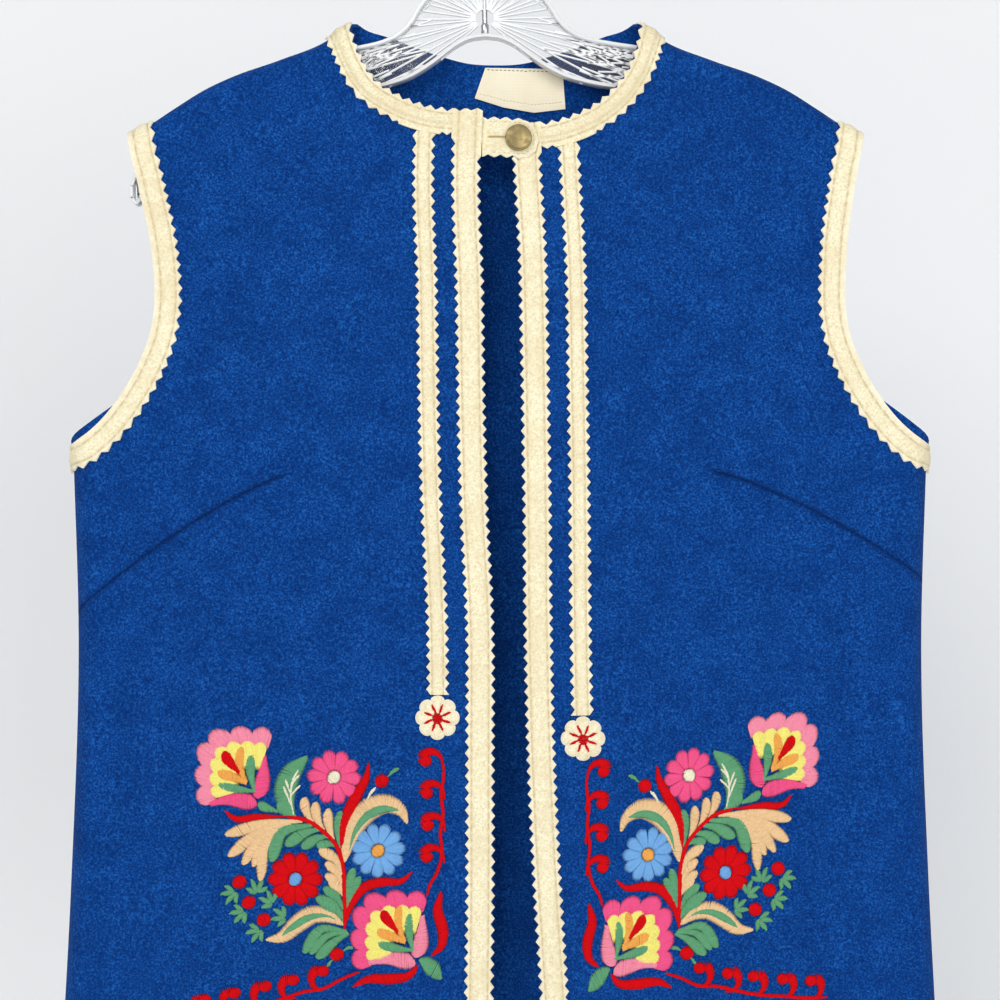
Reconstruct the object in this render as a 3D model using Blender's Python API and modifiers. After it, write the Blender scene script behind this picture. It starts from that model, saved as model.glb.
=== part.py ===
"""Embroidered folk vest of blue wool felt, hanging on a clear moulded hanger.

Run with: blender --background --python part.py

All sizes below are in millimetres and every mesh is written in metres.  +X is the
viewer's right, +Z is up and the front of the vest faces -Y.  The origin is the inner
top of the hanger's hook, where a rail carries it.

The cloth is worked out on flat paper coordinates: "across" is the distance from the
vest's centre line and "height" is the level below the hook.  sheet_points() lays
those flat points on the hanging cloth, rolled over the shoulders and the side seams.
"""

import math

import bmesh
import bpy
import numpy as np
from mathutils import Euler, Matrix, Vector

MM = 0.001
MERGE_DISTANCE = 0.00001
COLLECTION = "embroidered_folk_vest"
FRONT = -1
BACK = 1
LEFT = -1
RIGHT = 1
SIDE_NAMES = {LEFT: "left", RIGHT: "right"}


def columns(names, *rows):
    """Return a short table as one array for each named column."""
    return dict(zip(names.split(), np.array(rows, float).T))


# Cloth and its layers
WALL = 2.2
GAP = 0.3
TRIM_THICKNESS = 1.5
TAB_THICKNESS = 1.3
LABEL_THICKNESS = 0.8

# How the cloth hangs: the rolls over the shoulder and round the side seam
SHOULDER_ROLL = 6.4
SIDE_ROLL = 12.0
CENTRE_X = 7.2
CENTRE_LEAN = 2.5
LEAN_TOP = -150.0
LEAN_BOTTOM = -240.0
HEM = -656.0
NORMAL_STEP = 0.05
LINE_POINTS = 160

# Crest of the shoulder, carried on inside the neck point and out to the tip
SHOULDER = columns(
    "across crest",
    (60, -79.0),
    (78, -91.5),
    (92, -101.2),
    (117, -111.4),
    (144, -121.0),
    (158, -127.6),
    (175, -138.2),
    (188, -146.7),
    (200, -153.0),
)
CREST_START = 60.0
NECK_POINT = 78.0
SHOULDER_END = 200.0

# Edge of the armhole, from the shoulder tip down to the underarm
ARMHOLE = columns(
    "height across",
    (-153, 200.0),
    (-163, 198.4),
    (-173, 196.0),
    (-189, 192.9),
    (-204, 190.0),
    (-225, 187.6),
    (-246, 187.0),
    (-262, 189.4),
    (-276, 194.6),
    (-290, 202.0),
    (-301, 209.5),
    (-311, 218.5),
    (-318, 227.5),
    (-322, 239.0),
)
UNDERARM = -322.0
SIDE_FLARE = 0.6

# Half width of the body below the underarm
SIDE = columns(
    "height across",
    (-322, 232.0),
    (-430, 229.0),
    (-560, 233.0),
    (-656, 238.0),
)

# Neckline: teeth of the trim, as worn on the left and right front and at the back
NECK_FRONT = columns(
    "across left right",
    (78, -91.5, -91.5),
    (76.3, -99.5, -102.5),
    (71.5, -111.5, -115.5),
    (64.5, -122.5, -126.0),
    (55, -129.5, -135.0),
    (44, -134.8, -141.2),
    (33, -138.0, -145.2),
    (20, -139.6, -147.4),
    (5, -141.2, -148.8),
)
NECK_BACK = columns(
    "across height",
    (0, -111.6),
    (14, -110.9),
    (30, -107.0),
    (45, -102.2),
    (60, -96.6),
    (71, -93.2),
    (78, -91.5),
)

# Front edges: teeth of the wide trims along the opening
FRONT_EDGE = columns(
    "height left right",
    (-139, -6.6, 8.0),
    (-189, -8.7, 9.1),
    (-243, -8.3, 10.1),
    (-351, -6.2, 11.9),
    (-420, -2.9, 12.5),
    (-490, -2.7, 14.1),
    (-558, -2.7, 17.3),
    (-621, -3.3, 21.3),
    (-656, -3.8, 23.3),
)

# Felt trims with pinked edges
TOOTH_PITCH = 6.1
TOOTH_DEPTH = 2.2
NECK_TRIM_WIDTH = 15.0
ARMHOLE_TRIM_WIDTH = 15.0
EDGE_TRIM_WIDTH = 16.2
EDGE_TRIM_TOP_SLOPE = {LEFT: 0.0, RIGHT: 0.12}
STRIP_WIDTH = 12.4
STRIP_OFFSET = 31.0
STRIP_END = {LEFT: -456.0, RIGHT: -467.2}
TRIM_OVERHANG = 1.2
BACK_NECK_RISE = 0.4
SEAM_HOLD = 9.0
SEAM_BLEND = 20.0
END_BLEND = 10.0
UNDERARM_BLEND = 60.0
ROLL_LIFT = 0.3
ROLL_REACH = 14.0
NECK_MIDDLE = (0.0, -100.0)
ARMHOLE_MIDDLE = (240.0, -225.0)
FAR_SIDE = 500.0
FRONT_NECK_BELOW = -125.0

# Rosettes where the thin strips end
ROSETTE_RADIUS = 12.0
ROSETTE_NOTCH = 1.9
ROSETTE_PETALS = 8
ROSETTE_DROP = 12.0
ROSETTE_FULLNESS = 0.6

# Tab, button and label at the neck
TAB_HALF_WIDTH = 11.0
TAB_ROOT_HEIGHT = -154.6
TAB_ROOT_LAND = 1.0
TAB_CROSSING = 12.0
TAB_TOOTH = 1.6
TAB_END_SCALLOP = 0.5
TAB_END_FLAT = 1.2
TAB_STRAIGHT_STEPS = 6
TAB_TURN_STEPS = 6
BUTTON_ACROSS = 12.3
BUTTON_HEIGHT = -156.4
BUTTON_RADIUS = 7.15
BUTTON_THICKNESS = 2.0
BUTTON_RIM = 0.55
BUTTON_RIM_RISE = 0.25
BUTTON_RIM_SLOPE = 0.3
BUTTON_EDGE_SLOPE = 0.15
BUTTON_FOOT_SLOPE = 0.5
BUTTON_SIDES = 24
SHANK_WIDTH = 3.0
SHANK_THICKNESS = 0.9
SHANK_ROOT = 0.8
SLIT_WIDTH = 1.6
SLIT_START = -5.4
SLIT_EASE = 0.9
SLIT_DEPTH = 20.0
LABEL = columns(
    "part top_across top_height bottom_across bottom_height",
    (0, -5.6, -112.6, -11.5, -129.5),
    (1, 8.6, -112.8, 4.5, -134.4),
    (2, 22.9, -113.0, 21.4, -137.4),
    (3, 37.1, -113.8, 38.7, -135.4),
)

LABEL_ROWS = (0.0, 0.5, 1.0)

# How deep the sheets stand off the hanger's plane
DRAPE = columns(
    "face chest_depth hem_depth neck_depth bust_depth",
    (FRONT, 8.0, 3.0, 5.0, 4.5),
    (BACK, 6.5, 2.0, 4.0, 0.0),
)
CHEST_DROP = 200.0
NECK_SPREAD = 120.0
NECK_DROP = 45.0
NECK_FADE = (-150.0, -320.0)
BUST_ACROSS = 114.0
BUST_HEIGHT = -342.0
BUST_SPREAD = 62.0

# Soft folds: where each starts and ends, its half width and how far it stands out
FOLDS = columns(
    "face top_across bottom_across top_height bottom_height spread depth",
    (FRONT, -84, -100, -235, -520, 21, -2.6),
    (FRONT, 96, 104, -205, -560, 20, -2.8),
    (FRONT, -150, -168, -300, -690, 26, 2.4),
    (FRONT, 150, 158, -360, -690, 24, 2.2),
    (FRONT, 188, 182, -520, -760, 20, -2.4),
    (FRONT, -60, -66, -500, -760, 24, 1.6),
    (BACK, -92, -112, -220, -600, 24, -2.6),
    (BACK, 84, 100, -240, -560, 22, -2.4),
    (BACK, -20, -30, -330, -760, 30, 2.2),
    (BACK, 160, 172, -400, -760, 26, 2.2),
)
FOLD_FADE = 90.0

# Hanger, in its own upright frame before it tilts
HANGER_TILT = math.radians(-0.9)
HANGER_THICKNESS = 9.4
HANGER_ARM = columns(
    "across top bottom",
    (0, -64.0, -98.6),
    (8, -64.8, -99.6),
    (16, -67.0, -103.4),
    (24, -70.6, -109.4),
    (32, -75.6, -115.0),
    (36, -80.5, -117.4),
    (40, -87.6, -119.6),
    (48, -95.6, -122.6),
    (56, -99.2, -124.8),
    (68, -101.9, -127.2),
    (84, -104.6, -129.2),
    (100, -108.0, -131.2),
    (118, -113.75, -135.2),
    (136, -119.95, -142.4),
    (152, -128.0, -151.4),
    (166, -138.0, -162.0),
    (178, -150.0, -173.5),
    (187, -161.0, -183.5),
    (192, -169.5, -187.0),
    (195, -176.5, -183.5),
)
RING_HALF_POINTS = 6
BORE_SIDES = 16
BORE_OVERRUN = 10.0

# Hook of round wire
WIRE_RADIUS = 1.8
HOOK_INNER_RADIUS = 20.0
HOOK_TIP_ANGLE = 205.0
HOOK_NECK_ANGLE = -50.0
HOOK_ARC_STEPS = 20
STEM_TOP = -60.0
STEM_BOTTOM = -97.8
STEM_BEND_STEPS = 6
STEM_PULL = 9.0

# Places along the panels' grids: drops below the shoulder, insets from the side, rows
ROLL_DROPS = (0.15, 0.5, 3.5, 6.8, 10.1)
SIDE_INSETS = (18.9, 12.6, 6.3, 0.5, 0.15)
FRONT_SHARES = (0, 0.07, 0.16, 0.27, 0.39, 0.52, 0.66, 0.82)
BACK_DISTANCES = (0, 20, 40, 60, 78, 90, 108, 132, 158)
NECK_ROWS = 5
ARMHOLE_ROWS = 7
BODY_ROWS = 11

FINISHES = {
    "blue_felt": ((0.010, 0.055, 0.300, 1.0), 0.95, 0.0),
    "cream_felt": ((0.780, 0.700, 0.480, 1.0), 0.95, 0.0),
    "brass": ((0.420, 0.330, 0.150, 1.0), 0.35, 1.0),
    "label_cotton": ((0.850, 0.780, 0.620, 1.0), 0.9, 0.0),
    "clear_plastic": ((0.850, 0.880, 0.900, 1.0), 0.1, 0.0),
    "steel": ((0.560, 0.570, 0.580, 1.0), 0.25, 1.0),
}


class Glide:
    """A smooth curve through two columns of a table, straight past both ends."""

    def __init__(self, table, along, value):
        order = np.argsort(table[along])
        self.places = table[along][order]
        self.values = table[value][order]
        self.slopes = np.gradient(self.values, self.places)

    def __call__(self, at):
        """Read the curve at one place or at an array of places."""
        at = np.asarray(at, float)
        inside = np.clip(at, self.places[0], self.places[-1])
        step = np.clip(np.searchsorted(self.places, inside) - 1, 0, len(self.places) - 2)
        span = self.places[step + 1] - self.places[step]
        t = (inside - self.places[step]) / span
        start = self.values[step] * (1 + 2 * t) * (1 - t) ** 2
        end = self.values[step + 1] * (3 - 2 * t) * t**2
        rise = self.slopes[step] * t * (1 - t) ** 2 - self.slopes[step + 1] * (1 - t) * t**2
        end_slope = np.where(at < inside, self.slopes[0], self.slopes[-1])
        return start + end + rise * span + (at - inside) * end_slope


SHOULDER_CREST = Glide(SHOULDER, "across", "crest")
SIDE_ACROSS = Glide(SIDE, "height", "across")
EDGE_ACROSS = {side: Glide(FRONT_EDGE, "height", SIDE_NAMES[side]) for side in (LEFT, RIGHT)}


# ---------------------------------------------------------------- the hanging cloth


def smooth_step(share):
    """Rise gently from 0 to 1 as the share goes from 0 to 1."""
    share = np.clip(share, 0.0, 1.0)
    return share * share * (3 - 2 * share)


def roll_allowance(radius):
    """Extra flat cloth that a quarter roll takes up."""
    return (math.pi / 2 - 1) * radius


def shoulder_line(across):
    """Height on the flat pattern of the shoulder seam."""
    distance = np.maximum(np.abs(across), CREST_START)
    return SHOULDER_CREST(distance) + roll_allowance(SHOULDER_ROLL)


def side_line(height):
    """Distance on the flat pattern of the side seam from the centre."""
    above = np.maximum(np.asarray(height, float) - UNDERARM, 0.0)
    return SIDE_ACROSS(np.minimum(height, UNDERARM)) + SIDE_FLARE * above + roll_allowance(SIDE_ROLL)


def fold_depth(face, across, height):
    """Sum of the soft folds at a flat point."""
    depth = np.zeros(np.shape(across))
    for row in range(len(FOLDS["face"])):
        fold = {name: values[row] for name, values in FOLDS.items()}
        if fold["face"] != face:
            continue
        length = fold["top_height"] - fold["bottom_height"]
        share = (fold["top_height"] - height) / length
        line = fold["top_across"] + share * (fold["bottom_across"] - fold["top_across"])
        ends = smooth_step(share * length / FOLD_FADE) * smooth_step((1 - share) * length / FOLD_FADE)
        depth = depth + fold["depth"] * ends * np.exp(-(((across - line) / fold["spread"]) ** 2))
    return depth


def drape_depth(face, across, height):
    """Distance of a sheet from the hanger's plane, away from the rolled edges."""
    row = list(DRAPE["face"]).index(face)
    drape = {name: values[row] for name, values in DRAPE.items()}
    drop = shoulder_line(across) - height
    depth = SHOULDER_ROLL + drape["chest_depth"] * smooth_step(drop / CHEST_DROP)
    depth = depth + drape["hem_depth"] * smooth_step((UNDERARM - height) / (UNDERARM - HEM))
    fade = 1 - smooth_step((NECK_FADE[0] - height) / (NECK_FADE[0] - NECK_FADE[1]))
    spread = np.clip(1 - (across / NECK_SPREAD) ** 2, 0, 1) ** 2
    depth = depth + drape["neck_depth"] * fade * spread * smooth_step(drop / NECK_DROP)
    bust = ((np.abs(across) - BUST_ACROSS) ** 2 + (height - BUST_HEIGHT) ** 2) / BUST_SPREAD**2
    depth = depth + drape["bust_depth"] * np.exp(-bust)
    return depth + fold_depth(face, across, height)


def middle_points(face, across, height):
    """Lay flat points on the middle of the hanging sheet."""
    below = shoulder_line(across) - height
    shoulder_angle = np.minimum(below / SHOULDER_ROLL, math.pi / 2)
    rolled = SHOULDER_ROLL * (1 - np.cos(shoulder_angle))
    straight = np.maximum(below - SHOULDER_ROLL * math.pi / 2, 0)
    crest = shoulder_line(across) - roll_allowance(SHOULDER_ROLL)
    z = crest - rolled - straight

    seam = side_line(height)
    inward = seam - np.abs(across)
    side_angle = np.minimum(inward / SIDE_ROLL, math.pi / 2)
    tucked = SIDE_ROLL * (1 - np.cos(side_angle)) + np.maximum(inward - SIDE_ROLL * math.pi / 2, 0)
    x = np.sign(across) * (seam - roll_allowance(SIDE_ROLL) - tucked)
    x = x + CENTRE_X + CENTRE_LEAN * smooth_step((LEAN_TOP - z) / (LEAN_TOP - LEAN_BOTTOM))

    y = face * drape_depth(face, across, height) * np.sin(shoulder_angle) * np.sin(side_angle)
    return np.stack(np.broadcast_arrays(x, y, z), axis=-1)


def sheet_points(face, across, height, out=0.0):
    """Lay flat points on the hanging sheet and step out from its middle."""
    across = np.asarray(across, float)
    height = np.asarray(height, float)
    step = NORMAL_STEP
    middle = middle_points(face, across, height)
    along = middle_points(face, across + step, height) - middle_points(face, across - step, height)
    up = middle_points(face, across, height + step) - middle_points(face, across, height - step)
    normal = np.cross(along, up) * -face
    normal = normal / np.linalg.norm(normal, axis=-1, keepdims=True)
    return middle + normal * np.asarray(out, float)[..., None]


# ------------------------------------------------------------------ paths and bands


def flat_height(across, seen_height):
    """Height on the flat pattern of a point that is seen at the given height."""
    crest = shoulder_line(across) - roll_allowance(SHOULDER_ROLL)
    drop = np.maximum(crest - seen_height, 0)
    angle = np.arccos(1 - np.minimum(drop / SHOULDER_ROLL, 1))
    below = SHOULDER_ROLL * angle + np.maximum(drop - SHOULDER_ROLL, 0)
    return shoulder_line(across) - below


def smooth_line(across, seen_height):
    """Run an even, smooth line of flat points through the rows of a table."""
    across = np.asarray(across, float)
    height = flat_height(across, np.asarray(seen_height, float))
    steps = np.hypot(np.diff(across), np.diff(height))
    rows = {"length": np.concatenate([[0], np.cumsum(steps)]), "across": across, "height": height}
    at = np.linspace(0, rows["length"][-1], LINE_POINTS)
    return np.stack([Glide(rows, "length", name)(at) for name in ("across", "height")], axis=1)


class Path:
    """A line on the flat pattern with its face and the crossing direction into the cloth."""

    def __init__(self, face, flat, hole):
        self.flat = np.asarray(flat, float)
        self.face = np.full(len(self.flat), face)
        tangent = np.gradient(self.flat, axis=0)
        tangent = tangent / np.linalg.norm(tangent, axis=1, keepdims=True)
        square = np.stack([tangent[:, 1], -tangent[:, 0]], axis=1)
        away = self.flat - np.asarray(hole, float)
        self.square = square * np.sign(np.sum(square * away, axis=1, keepdims=True))
        self.crossing = self.square.copy()

    def turn(self, direction, weight):
        """Slant the crossing lines by a weight, keeping their square width."""
        direction = direction / np.linalg.norm(direction, axis=-1, keepdims=True)
        direction = direction * np.sign(np.sum(direction * self.square, axis=1, keepdims=True))
        turned = weight[:, None] * direction + (1 - weight[:, None]) * self.crossing
        self.crossing = turned / np.sum(turned * self.square, axis=1, keepdims=True)

    def turn_at_shoulder(self):
        """Slant the crossing lines along the shoulder seam where the path meets it."""
        across = self.flat[:, 0]
        slope = shoulder_line(across + 0.5) - shoulder_line(across - 0.5)
        drop = shoulder_line(across) - self.flat[:, 1]
        seam = np.stack([np.ones(len(across)), slope], axis=1)
        self.turn(seam, 1 - smooth_step((drop - SEAM_HOLD) / SEAM_BLEND))

    def turn_at_end(self, direction, reach, last=True):
        """Slant the crossing lines to a direction near the last or the first point."""
        end = self.flat[-1 if last else 0]
        away = np.linalg.norm(self.flat - end, axis=1)
        self.turn(np.broadcast_to(direction, self.flat.shape), 1 - smooth_step(away / reach))

    def reversed(self):
        """Run the same path the other way."""
        for name in ("flat", "face", "square", "crossing"):
            setattr(self, name, getattr(self, name)[::-1])
        return self

    def joined(self, other):
        """Carry on along another path."""
        for name in ("flat", "face", "square", "crossing"):
            setattr(self, name, np.concatenate([getattr(self, name), getattr(other, name)]))
        return self

    def stepped(self, inside):
        """Flat points of the line moved into the cloth along its crossing lines."""
        return self.flat + self.crossing * inside

    def lay(self, flat, out=0.0):
        """Lay flat points on the sheets, each on its own face."""
        front = sheet_points(FRONT, flat[..., 0], flat[..., 1], out)
        back = sheet_points(BACK, flat[..., 0], flat[..., 1], out)
        return np.where((self.face == FRONT)[:, None], front, back)

    def rolled(self):
        """Tell, from 0 to 1, where the line goes over a rolled edge of the cloth."""
        drop = shoulder_line(self.flat[:, 0]) - self.flat[:, 1]
        inset = side_line(self.flat[:, 1]) - np.abs(self.flat[:, 0])
        return 1 - smooth_step((np.minimum(drop, inset) - ROLL_REACH) / ROLL_REACH)

    def at_stations(self, spacing):
        """Return this path with evenly spaced points, an even number of steps."""
        steps = np.linalg.norm(np.diff(self.lay(self.flat), axis=0), axis=1)
        length = np.concatenate([[0], np.cumsum(steps)])
        count = max(2, 2 * round(length[-1] / spacing / 2))
        places = np.interp(np.linspace(0, length[-1], count + 1), length, np.arange(len(length)))
        even = Path.__new__(Path)
        for name in ("flat", "square", "crossing"):
            values = getattr(self, name)
            pair = [np.interp(places, np.arange(len(length)), values[:, k]) for k in (0, 1)]
            setattr(even, name, np.stack(pair, axis=1))
        even.face = self.face[np.round(places).astype(int)]
        return even


def front_neck(side, reach):
    """Neckline of one front, from the shoulder seam to a distance from the front edge."""
    flat = smooth_line(side * NECK_FRONT["across"], NECK_FRONT[SIDE_NAMES[side]])
    stop = np.abs(EDGE_ACROSS[side](flat[:, 1])) + reach
    path = Path(FRONT, flat[np.abs(flat[:, 0]) >= stop], NECK_MIDDLE)
    path.turn_at_shoulder()
    path.turn_at_end((0.0, 1.0), END_BLEND)
    return path


def back_neck():
    """Neckline of the back, from the left shoulder seam to the right one."""
    across = np.concatenate([-NECK_BACK["across"][:0:-1], NECK_BACK["across"]])
    heights = np.concatenate([NECK_BACK["height"][:0:-1], NECK_BACK["height"]])
    path = Path(BACK, smooth_line(across, heights)[1:-1], NECK_MIDDLE)
    path.turn_at_shoulder()
    return path


def armhole(face, side):
    """Edge of an armhole on one face, from the shoulder tip to the side seam."""
    flat = smooth_line(side * ARMHOLE["across"], ARMHOLE["height"])
    inside = side_line(flat[:, 1]) - np.abs(flat[:, 0]) > GAP / 2
    path = Path(face, flat[inside], (side * ARMHOLE_MIDDLE[0], ARMHOLE_MIDDLE[1]))
    path.turn_at_shoulder()
    path.turn_at_end((0.0, 1.0), UNDERARM_BLEND)
    return path


def front_edge(side, top, bottom, offset=0.0):
    """Line beside the opening of one front, from a height down to another."""
    heights = np.linspace(top, bottom, LINE_POINTS)
    across = EDGE_ACROSS[side](heights) + side * offset
    return Path(FRONT, np.stack([across, heights], axis=1), (-side * FAR_SIDE, bottom))


# -------------------------------------------------------------------- making meshes


def remove_all_objects():
    """Empty the scene."""
    for thing in list(bpy.data.objects):
        bpy.data.objects.remove(thing, do_unlink=True)


def collection(name):
    """Make a collection in the scene."""
    group = bpy.data.collections.new(name)
    bpy.context.scene.collection.children.link(group)
    return group


def finish(name):
    """Return the named plain material, made once."""
    material = bpy.data.materials.get(name)
    if material:
        return material
    colour, roughness, metallic = FINISHES[name]
    material = bpy.data.materials.new(name)
    material.use_nodes = True
    shader = material.node_tree.nodes["Principled BSDF"]
    shader.inputs["Base Color"].default_value = colour
    shader.inputs["Roughness"].default_value = roughness
    shader.inputs["Metallic"].default_value = metallic
    material.diffuse_color = colour
    return material


def add_object(name, data, group, material):
    """Put mesh or curve data in the scene as a named object."""
    thing = bpy.data.objects.new(name, data)
    group.objects.link(thing)
    data.materials.append(finish(material))
    return thing


def grid_mesh(name, points):
    """Make an open sheet through a grid of points in millimetres."""
    rows, places = points.shape[:2]
    bm = bmesh.new()
    bmesh.ops.create_grid(bm, x_segments=places - 1, y_segments=rows - 1, size=1)
    for vert, point in zip(bm.verts, points.reshape(-1, 3)):
        vert.co = Vector(point) * MM
    mesh = bpy.data.meshes.new(name)
    bm.to_mesh(mesh)
    bm.free()
    return mesh


def add_wall(thing, thickness):
    """Thicken an open sheet evenly on both of its sides."""
    wall = thing.modifiers.new("wall", "SOLIDIFY")
    wall.thickness = thickness * MM
    wall.offset = 0.0
    wall.use_even_offset = True
    return thing


def add_cut(thing, cutter, operation="DIFFERENCE"):
    """Cut or join a mesh object with another by an exact Boolean."""
    cut = thing.modifiers.new("cut", "BOOLEAN")
    cut.operation = operation
    cut.solver = "EXACT"
    cut.object = cutter
    return cut


def mark_as_cutter(thing):
    """Show an object only as a wire guide."""
    thing.hide_render = True
    thing.display_type = "WIRE"


# --------------------------------------------------------------------------- panels


def resample(points, shares):
    """Read a line of flat points at shares of its length."""
    steps = np.linalg.norm(np.diff(points, axis=0), axis=1)
    length = np.concatenate([[0], np.cumsum(steps)])
    at = np.asarray(shares) * length[-1]
    return np.stack([np.interp(at, length, points[:, k]) for k in (0, 1)], axis=1)


def rows_from_shoulder(line, rows):
    """Place a row at each rolled drop and then a number of even rows along a line."""
    drops = shoulder_line(line[:, 0]) - line[:, 1]
    last = int(np.argmax(drops > ROLL_DROPS[-1]))
    rolled = [[np.interp(drop, drops[:last + 1], line[:last + 1, k]) for k in (0, 1)]
              for drop in ROLL_DROPS]
    rest = np.concatenate([rolled[-1:], line[last:]])
    return np.concatenate([rolled, resample(rest, np.linspace(0, 1, rows + 1))[1:]])


def outer_rows(side):
    """Outer edge of a panel, down the armhole and the side seam, row by row."""
    edge = smooth_line(side * ARMHOLE["across"], ARMHOLE["height"])
    edge[-1] = (side * side_line(UNDERARM), UNDERARM)
    upper = rows_from_shoulder(edge, NECK_ROWS + ARMHOLE_ROWS)
    heights = np.linspace(UNDERARM, HEM, BODY_ROWS + 1)[1:]
    return np.concatenate([upper, np.stack([side * side_line(heights), heights], axis=1)])


def level_weights():
    """How far each row has turned from following the shoulder to lying level."""
    upper = NECK_ROWS + ARMHOLE_ROWS
    weights = smooth_step(np.arange(1, upper + 1) / upper)
    return np.concatenate([np.zeros(len(ROLL_DROPS)), weights, np.ones(BODY_ROWS)])


def front_flat(side):
    """Flat points of one front, from its neck and front edge out to the side."""
    neck = front_neck(side, TRIM_OVERHANG).stepped(TRIM_OVERHANG)
    neck = neck[np.abs(neck[:, 0]) >= np.abs(EDGE_ACROSS[side](neck[:, 1])) + TRIM_OVERHANG]
    heights = np.concatenate([
        np.linspace(neck[-1, 1], UNDERARM, ARMHOLE_ROWS + 1)[1:],
        np.linspace(UNDERARM, HEM, BODY_ROWS + 1)[1:],
    ])
    edge = np.stack([EDGE_ACROSS[side](heights) + side * TRIM_OVERHANG, heights], axis=1)
    inner = np.concatenate([rows_from_shoulder(neck, NECK_ROWS), edge])
    outer = outer_rows(side)
    grid = []
    for near, far, level in zip(inner, outer, level_weights()):
        width = abs(far[0] - near[0])
        shares = np.array(FRONT_SHARES) * (1 - SIDE_INSETS[0] / width)
        shares = np.concatenate([shares, 1 - np.array(SIDE_INSETS) / width])
        across = near[0] + shares * (far[0] - near[0])
        drops = [float(shoulder_line(point[0]) - point[1]) for point in (near, far)]
        hung = shoulder_line(across) - np.interp(shares, (0, 1), drops)
        flat = np.interp(shares, (0, 1), (near[1], far[1]))
        grid.append(np.stack([across, (1 - level) * hung + level * flat], axis=1))
    return np.array(grid)


def back_half_flat():
    """Flat points of the right half of the back, from its middle out to the side."""
    neck = back_neck().stepped(-BACK_NECK_RISE)
    neck = neck[neck[:, 0] >= -1]
    outer = outer_rows(RIGHT)
    level = level_weights()
    start = float(np.interp(0, neck[:, 0], neck[:, 1]))
    upper = len(ROLL_DROPS) + NECK_ROWS + ARMHOLE_ROWS
    middle = np.interp(np.arange(len(outer)), (0, upper - 1, len(outer) - 1), (start, UNDERARM, HEM))
    reach = SHOULDER_END - SIDE_INSETS[0]
    spread = np.array(BACK_DISTANCES) / reach
    insets = np.array(SIDE_INSETS)
    first = np.concatenate([BACK_DISTANCES, SHOULDER_END - insets])
    edge = np.interp(first, neck[:, 0], neck[:, 1])
    base = np.where(first < NECK_POINT, shoulder_line(first) - edge, 0)
    grid = []
    for far, centre, weight in zip(outer, middle, level):
        across = np.concatenate([spread * (far[0] - insets[0]), far[0] - insets])
        drop = float(shoulder_line(far[0]) - far[1])
        hung = shoulder_line(across) - np.maximum(base, 0) - drop
        flat = np.interp(across, (0, far[0]), (centre, far[1]))
        grid.append(np.stack([across, (1 - weight) * hung + weight * flat], axis=1))
    return np.array(grid)


def back_flat():
    """Flat points of the whole back, left side to right side."""
    right = back_half_flat()
    left = right[:, :0:-1] * np.array([-1, 1])
    return np.concatenate([left, right], axis=1)


def make_panel(name, face, flat, group):
    """Hang a grid of flat points as a wall of felt, square to the cloth at every edge."""
    skins = [sheet_points(face, flat[..., 0], flat[..., 1], out).reshape(-1, 3)
             for out in (-WALL / 2, WALL / 2)]
    rows, places = flat.shape[:2]
    bm = bmesh.new()
    bmesh.ops.create_grid(bm, x_segments=places - 1, y_segments=rows - 1, size=1)
    place = bm.verts.layers.int.new("place")
    for number, vert in enumerate(bm.verts):
        vert[place] = number
    inside = set(bm.verts)
    bmesh.ops.extrude_face_region(bm, geom=list(bm.faces))
    for vert in bm.verts:
        vert.co = Vector(skins[0 if vert in inside else 1][vert[place]]) * MM
    bmesh.ops.recalc_face_normals(bm, faces=bm.faces)
    mesh = bpy.data.meshes.new(name)
    bm.to_mesh(mesh)
    bm.free()
    return add_object(name, mesh, group, "blue_felt")


# ---------------------------------------------------------------------------- trims


def make_band(name, path, width, inner_teeth, outer_teeth, group):
    """Lay a strip of felt along a path, its pinked teeth staggered edge to edge.

    The teeth are depths, or functions that give one for each flat point.
    """
    even = path.at_stations(TOOTH_PITCH / 2)
    cut = [teeth(even.flat) if callable(teeth) else teeth for teeth in (inner_teeth, outer_teeth)]
    odd = np.arange(len(even.flat)) % 2
    inner = even.stepped((cut[0] * odd)[:, None])
    outer = even.stepped((width - cut[1] * (1 - odd))[:, None])
    lift = ROLL_LIFT * even.rolled()
    out = WALL / 2 + GAP + TRIM_THICKNESS / 2 + lift
    points = np.stack([even.lay(inner, out), even.lay(outer, out)], axis=1)
    return add_wall(add_object(name, grid_mesh(name, points), group, "cream_felt"), TRIM_THICKNESS)


def neck_band_edge(side):
    """Outer edge of the neck trim on one front, as heights along the distance across."""
    lower = front_neck(side, EDGE_TRIM_WIDTH + 2 * GAP).stepped(NECK_TRIM_WIDTH)
    order = np.argsort(side * lower[:, 0])
    distance = side * lower[order, 0]
    return lambda across: np.interp(side * across, distance, lower[order, 1])


def strip_centre(side, height):
    """Distance across of the middle of a thin strip."""
    return EDGE_ACROSS[side](height) + side * STRIP_OFFSET


def make_neck_trim(group):
    """One band round the whole neck, from one front's wide trim to the other's."""
    reach = EDGE_TRIM_WIDTH + 2 * GAP
    path = front_neck(LEFT, reach).reversed()
    path.joined(back_neck()).joined(front_neck(RIGHT, reach))

    def outer_teeth(flat):
        """Leave the edge plain where the thin strips start."""
        near_strip = np.zeros(len(flat), bool)
        for side in (LEFT, RIGHT):
            away = np.abs(flat[:, 0] - strip_centre(side, flat[:, 1]))
            near_strip |= (away < STRIP_WIDTH / 2 + TOOTH_PITCH / 2) & (flat[:, 1] < FRONT_NECK_BELOW)
        return np.where(near_strip, 0.0, TOOTH_DEPTH)

    return make_band("neck_trim", path, NECK_TRIM_WIDTH, TOOTH_DEPTH, outer_teeth, group)


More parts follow.
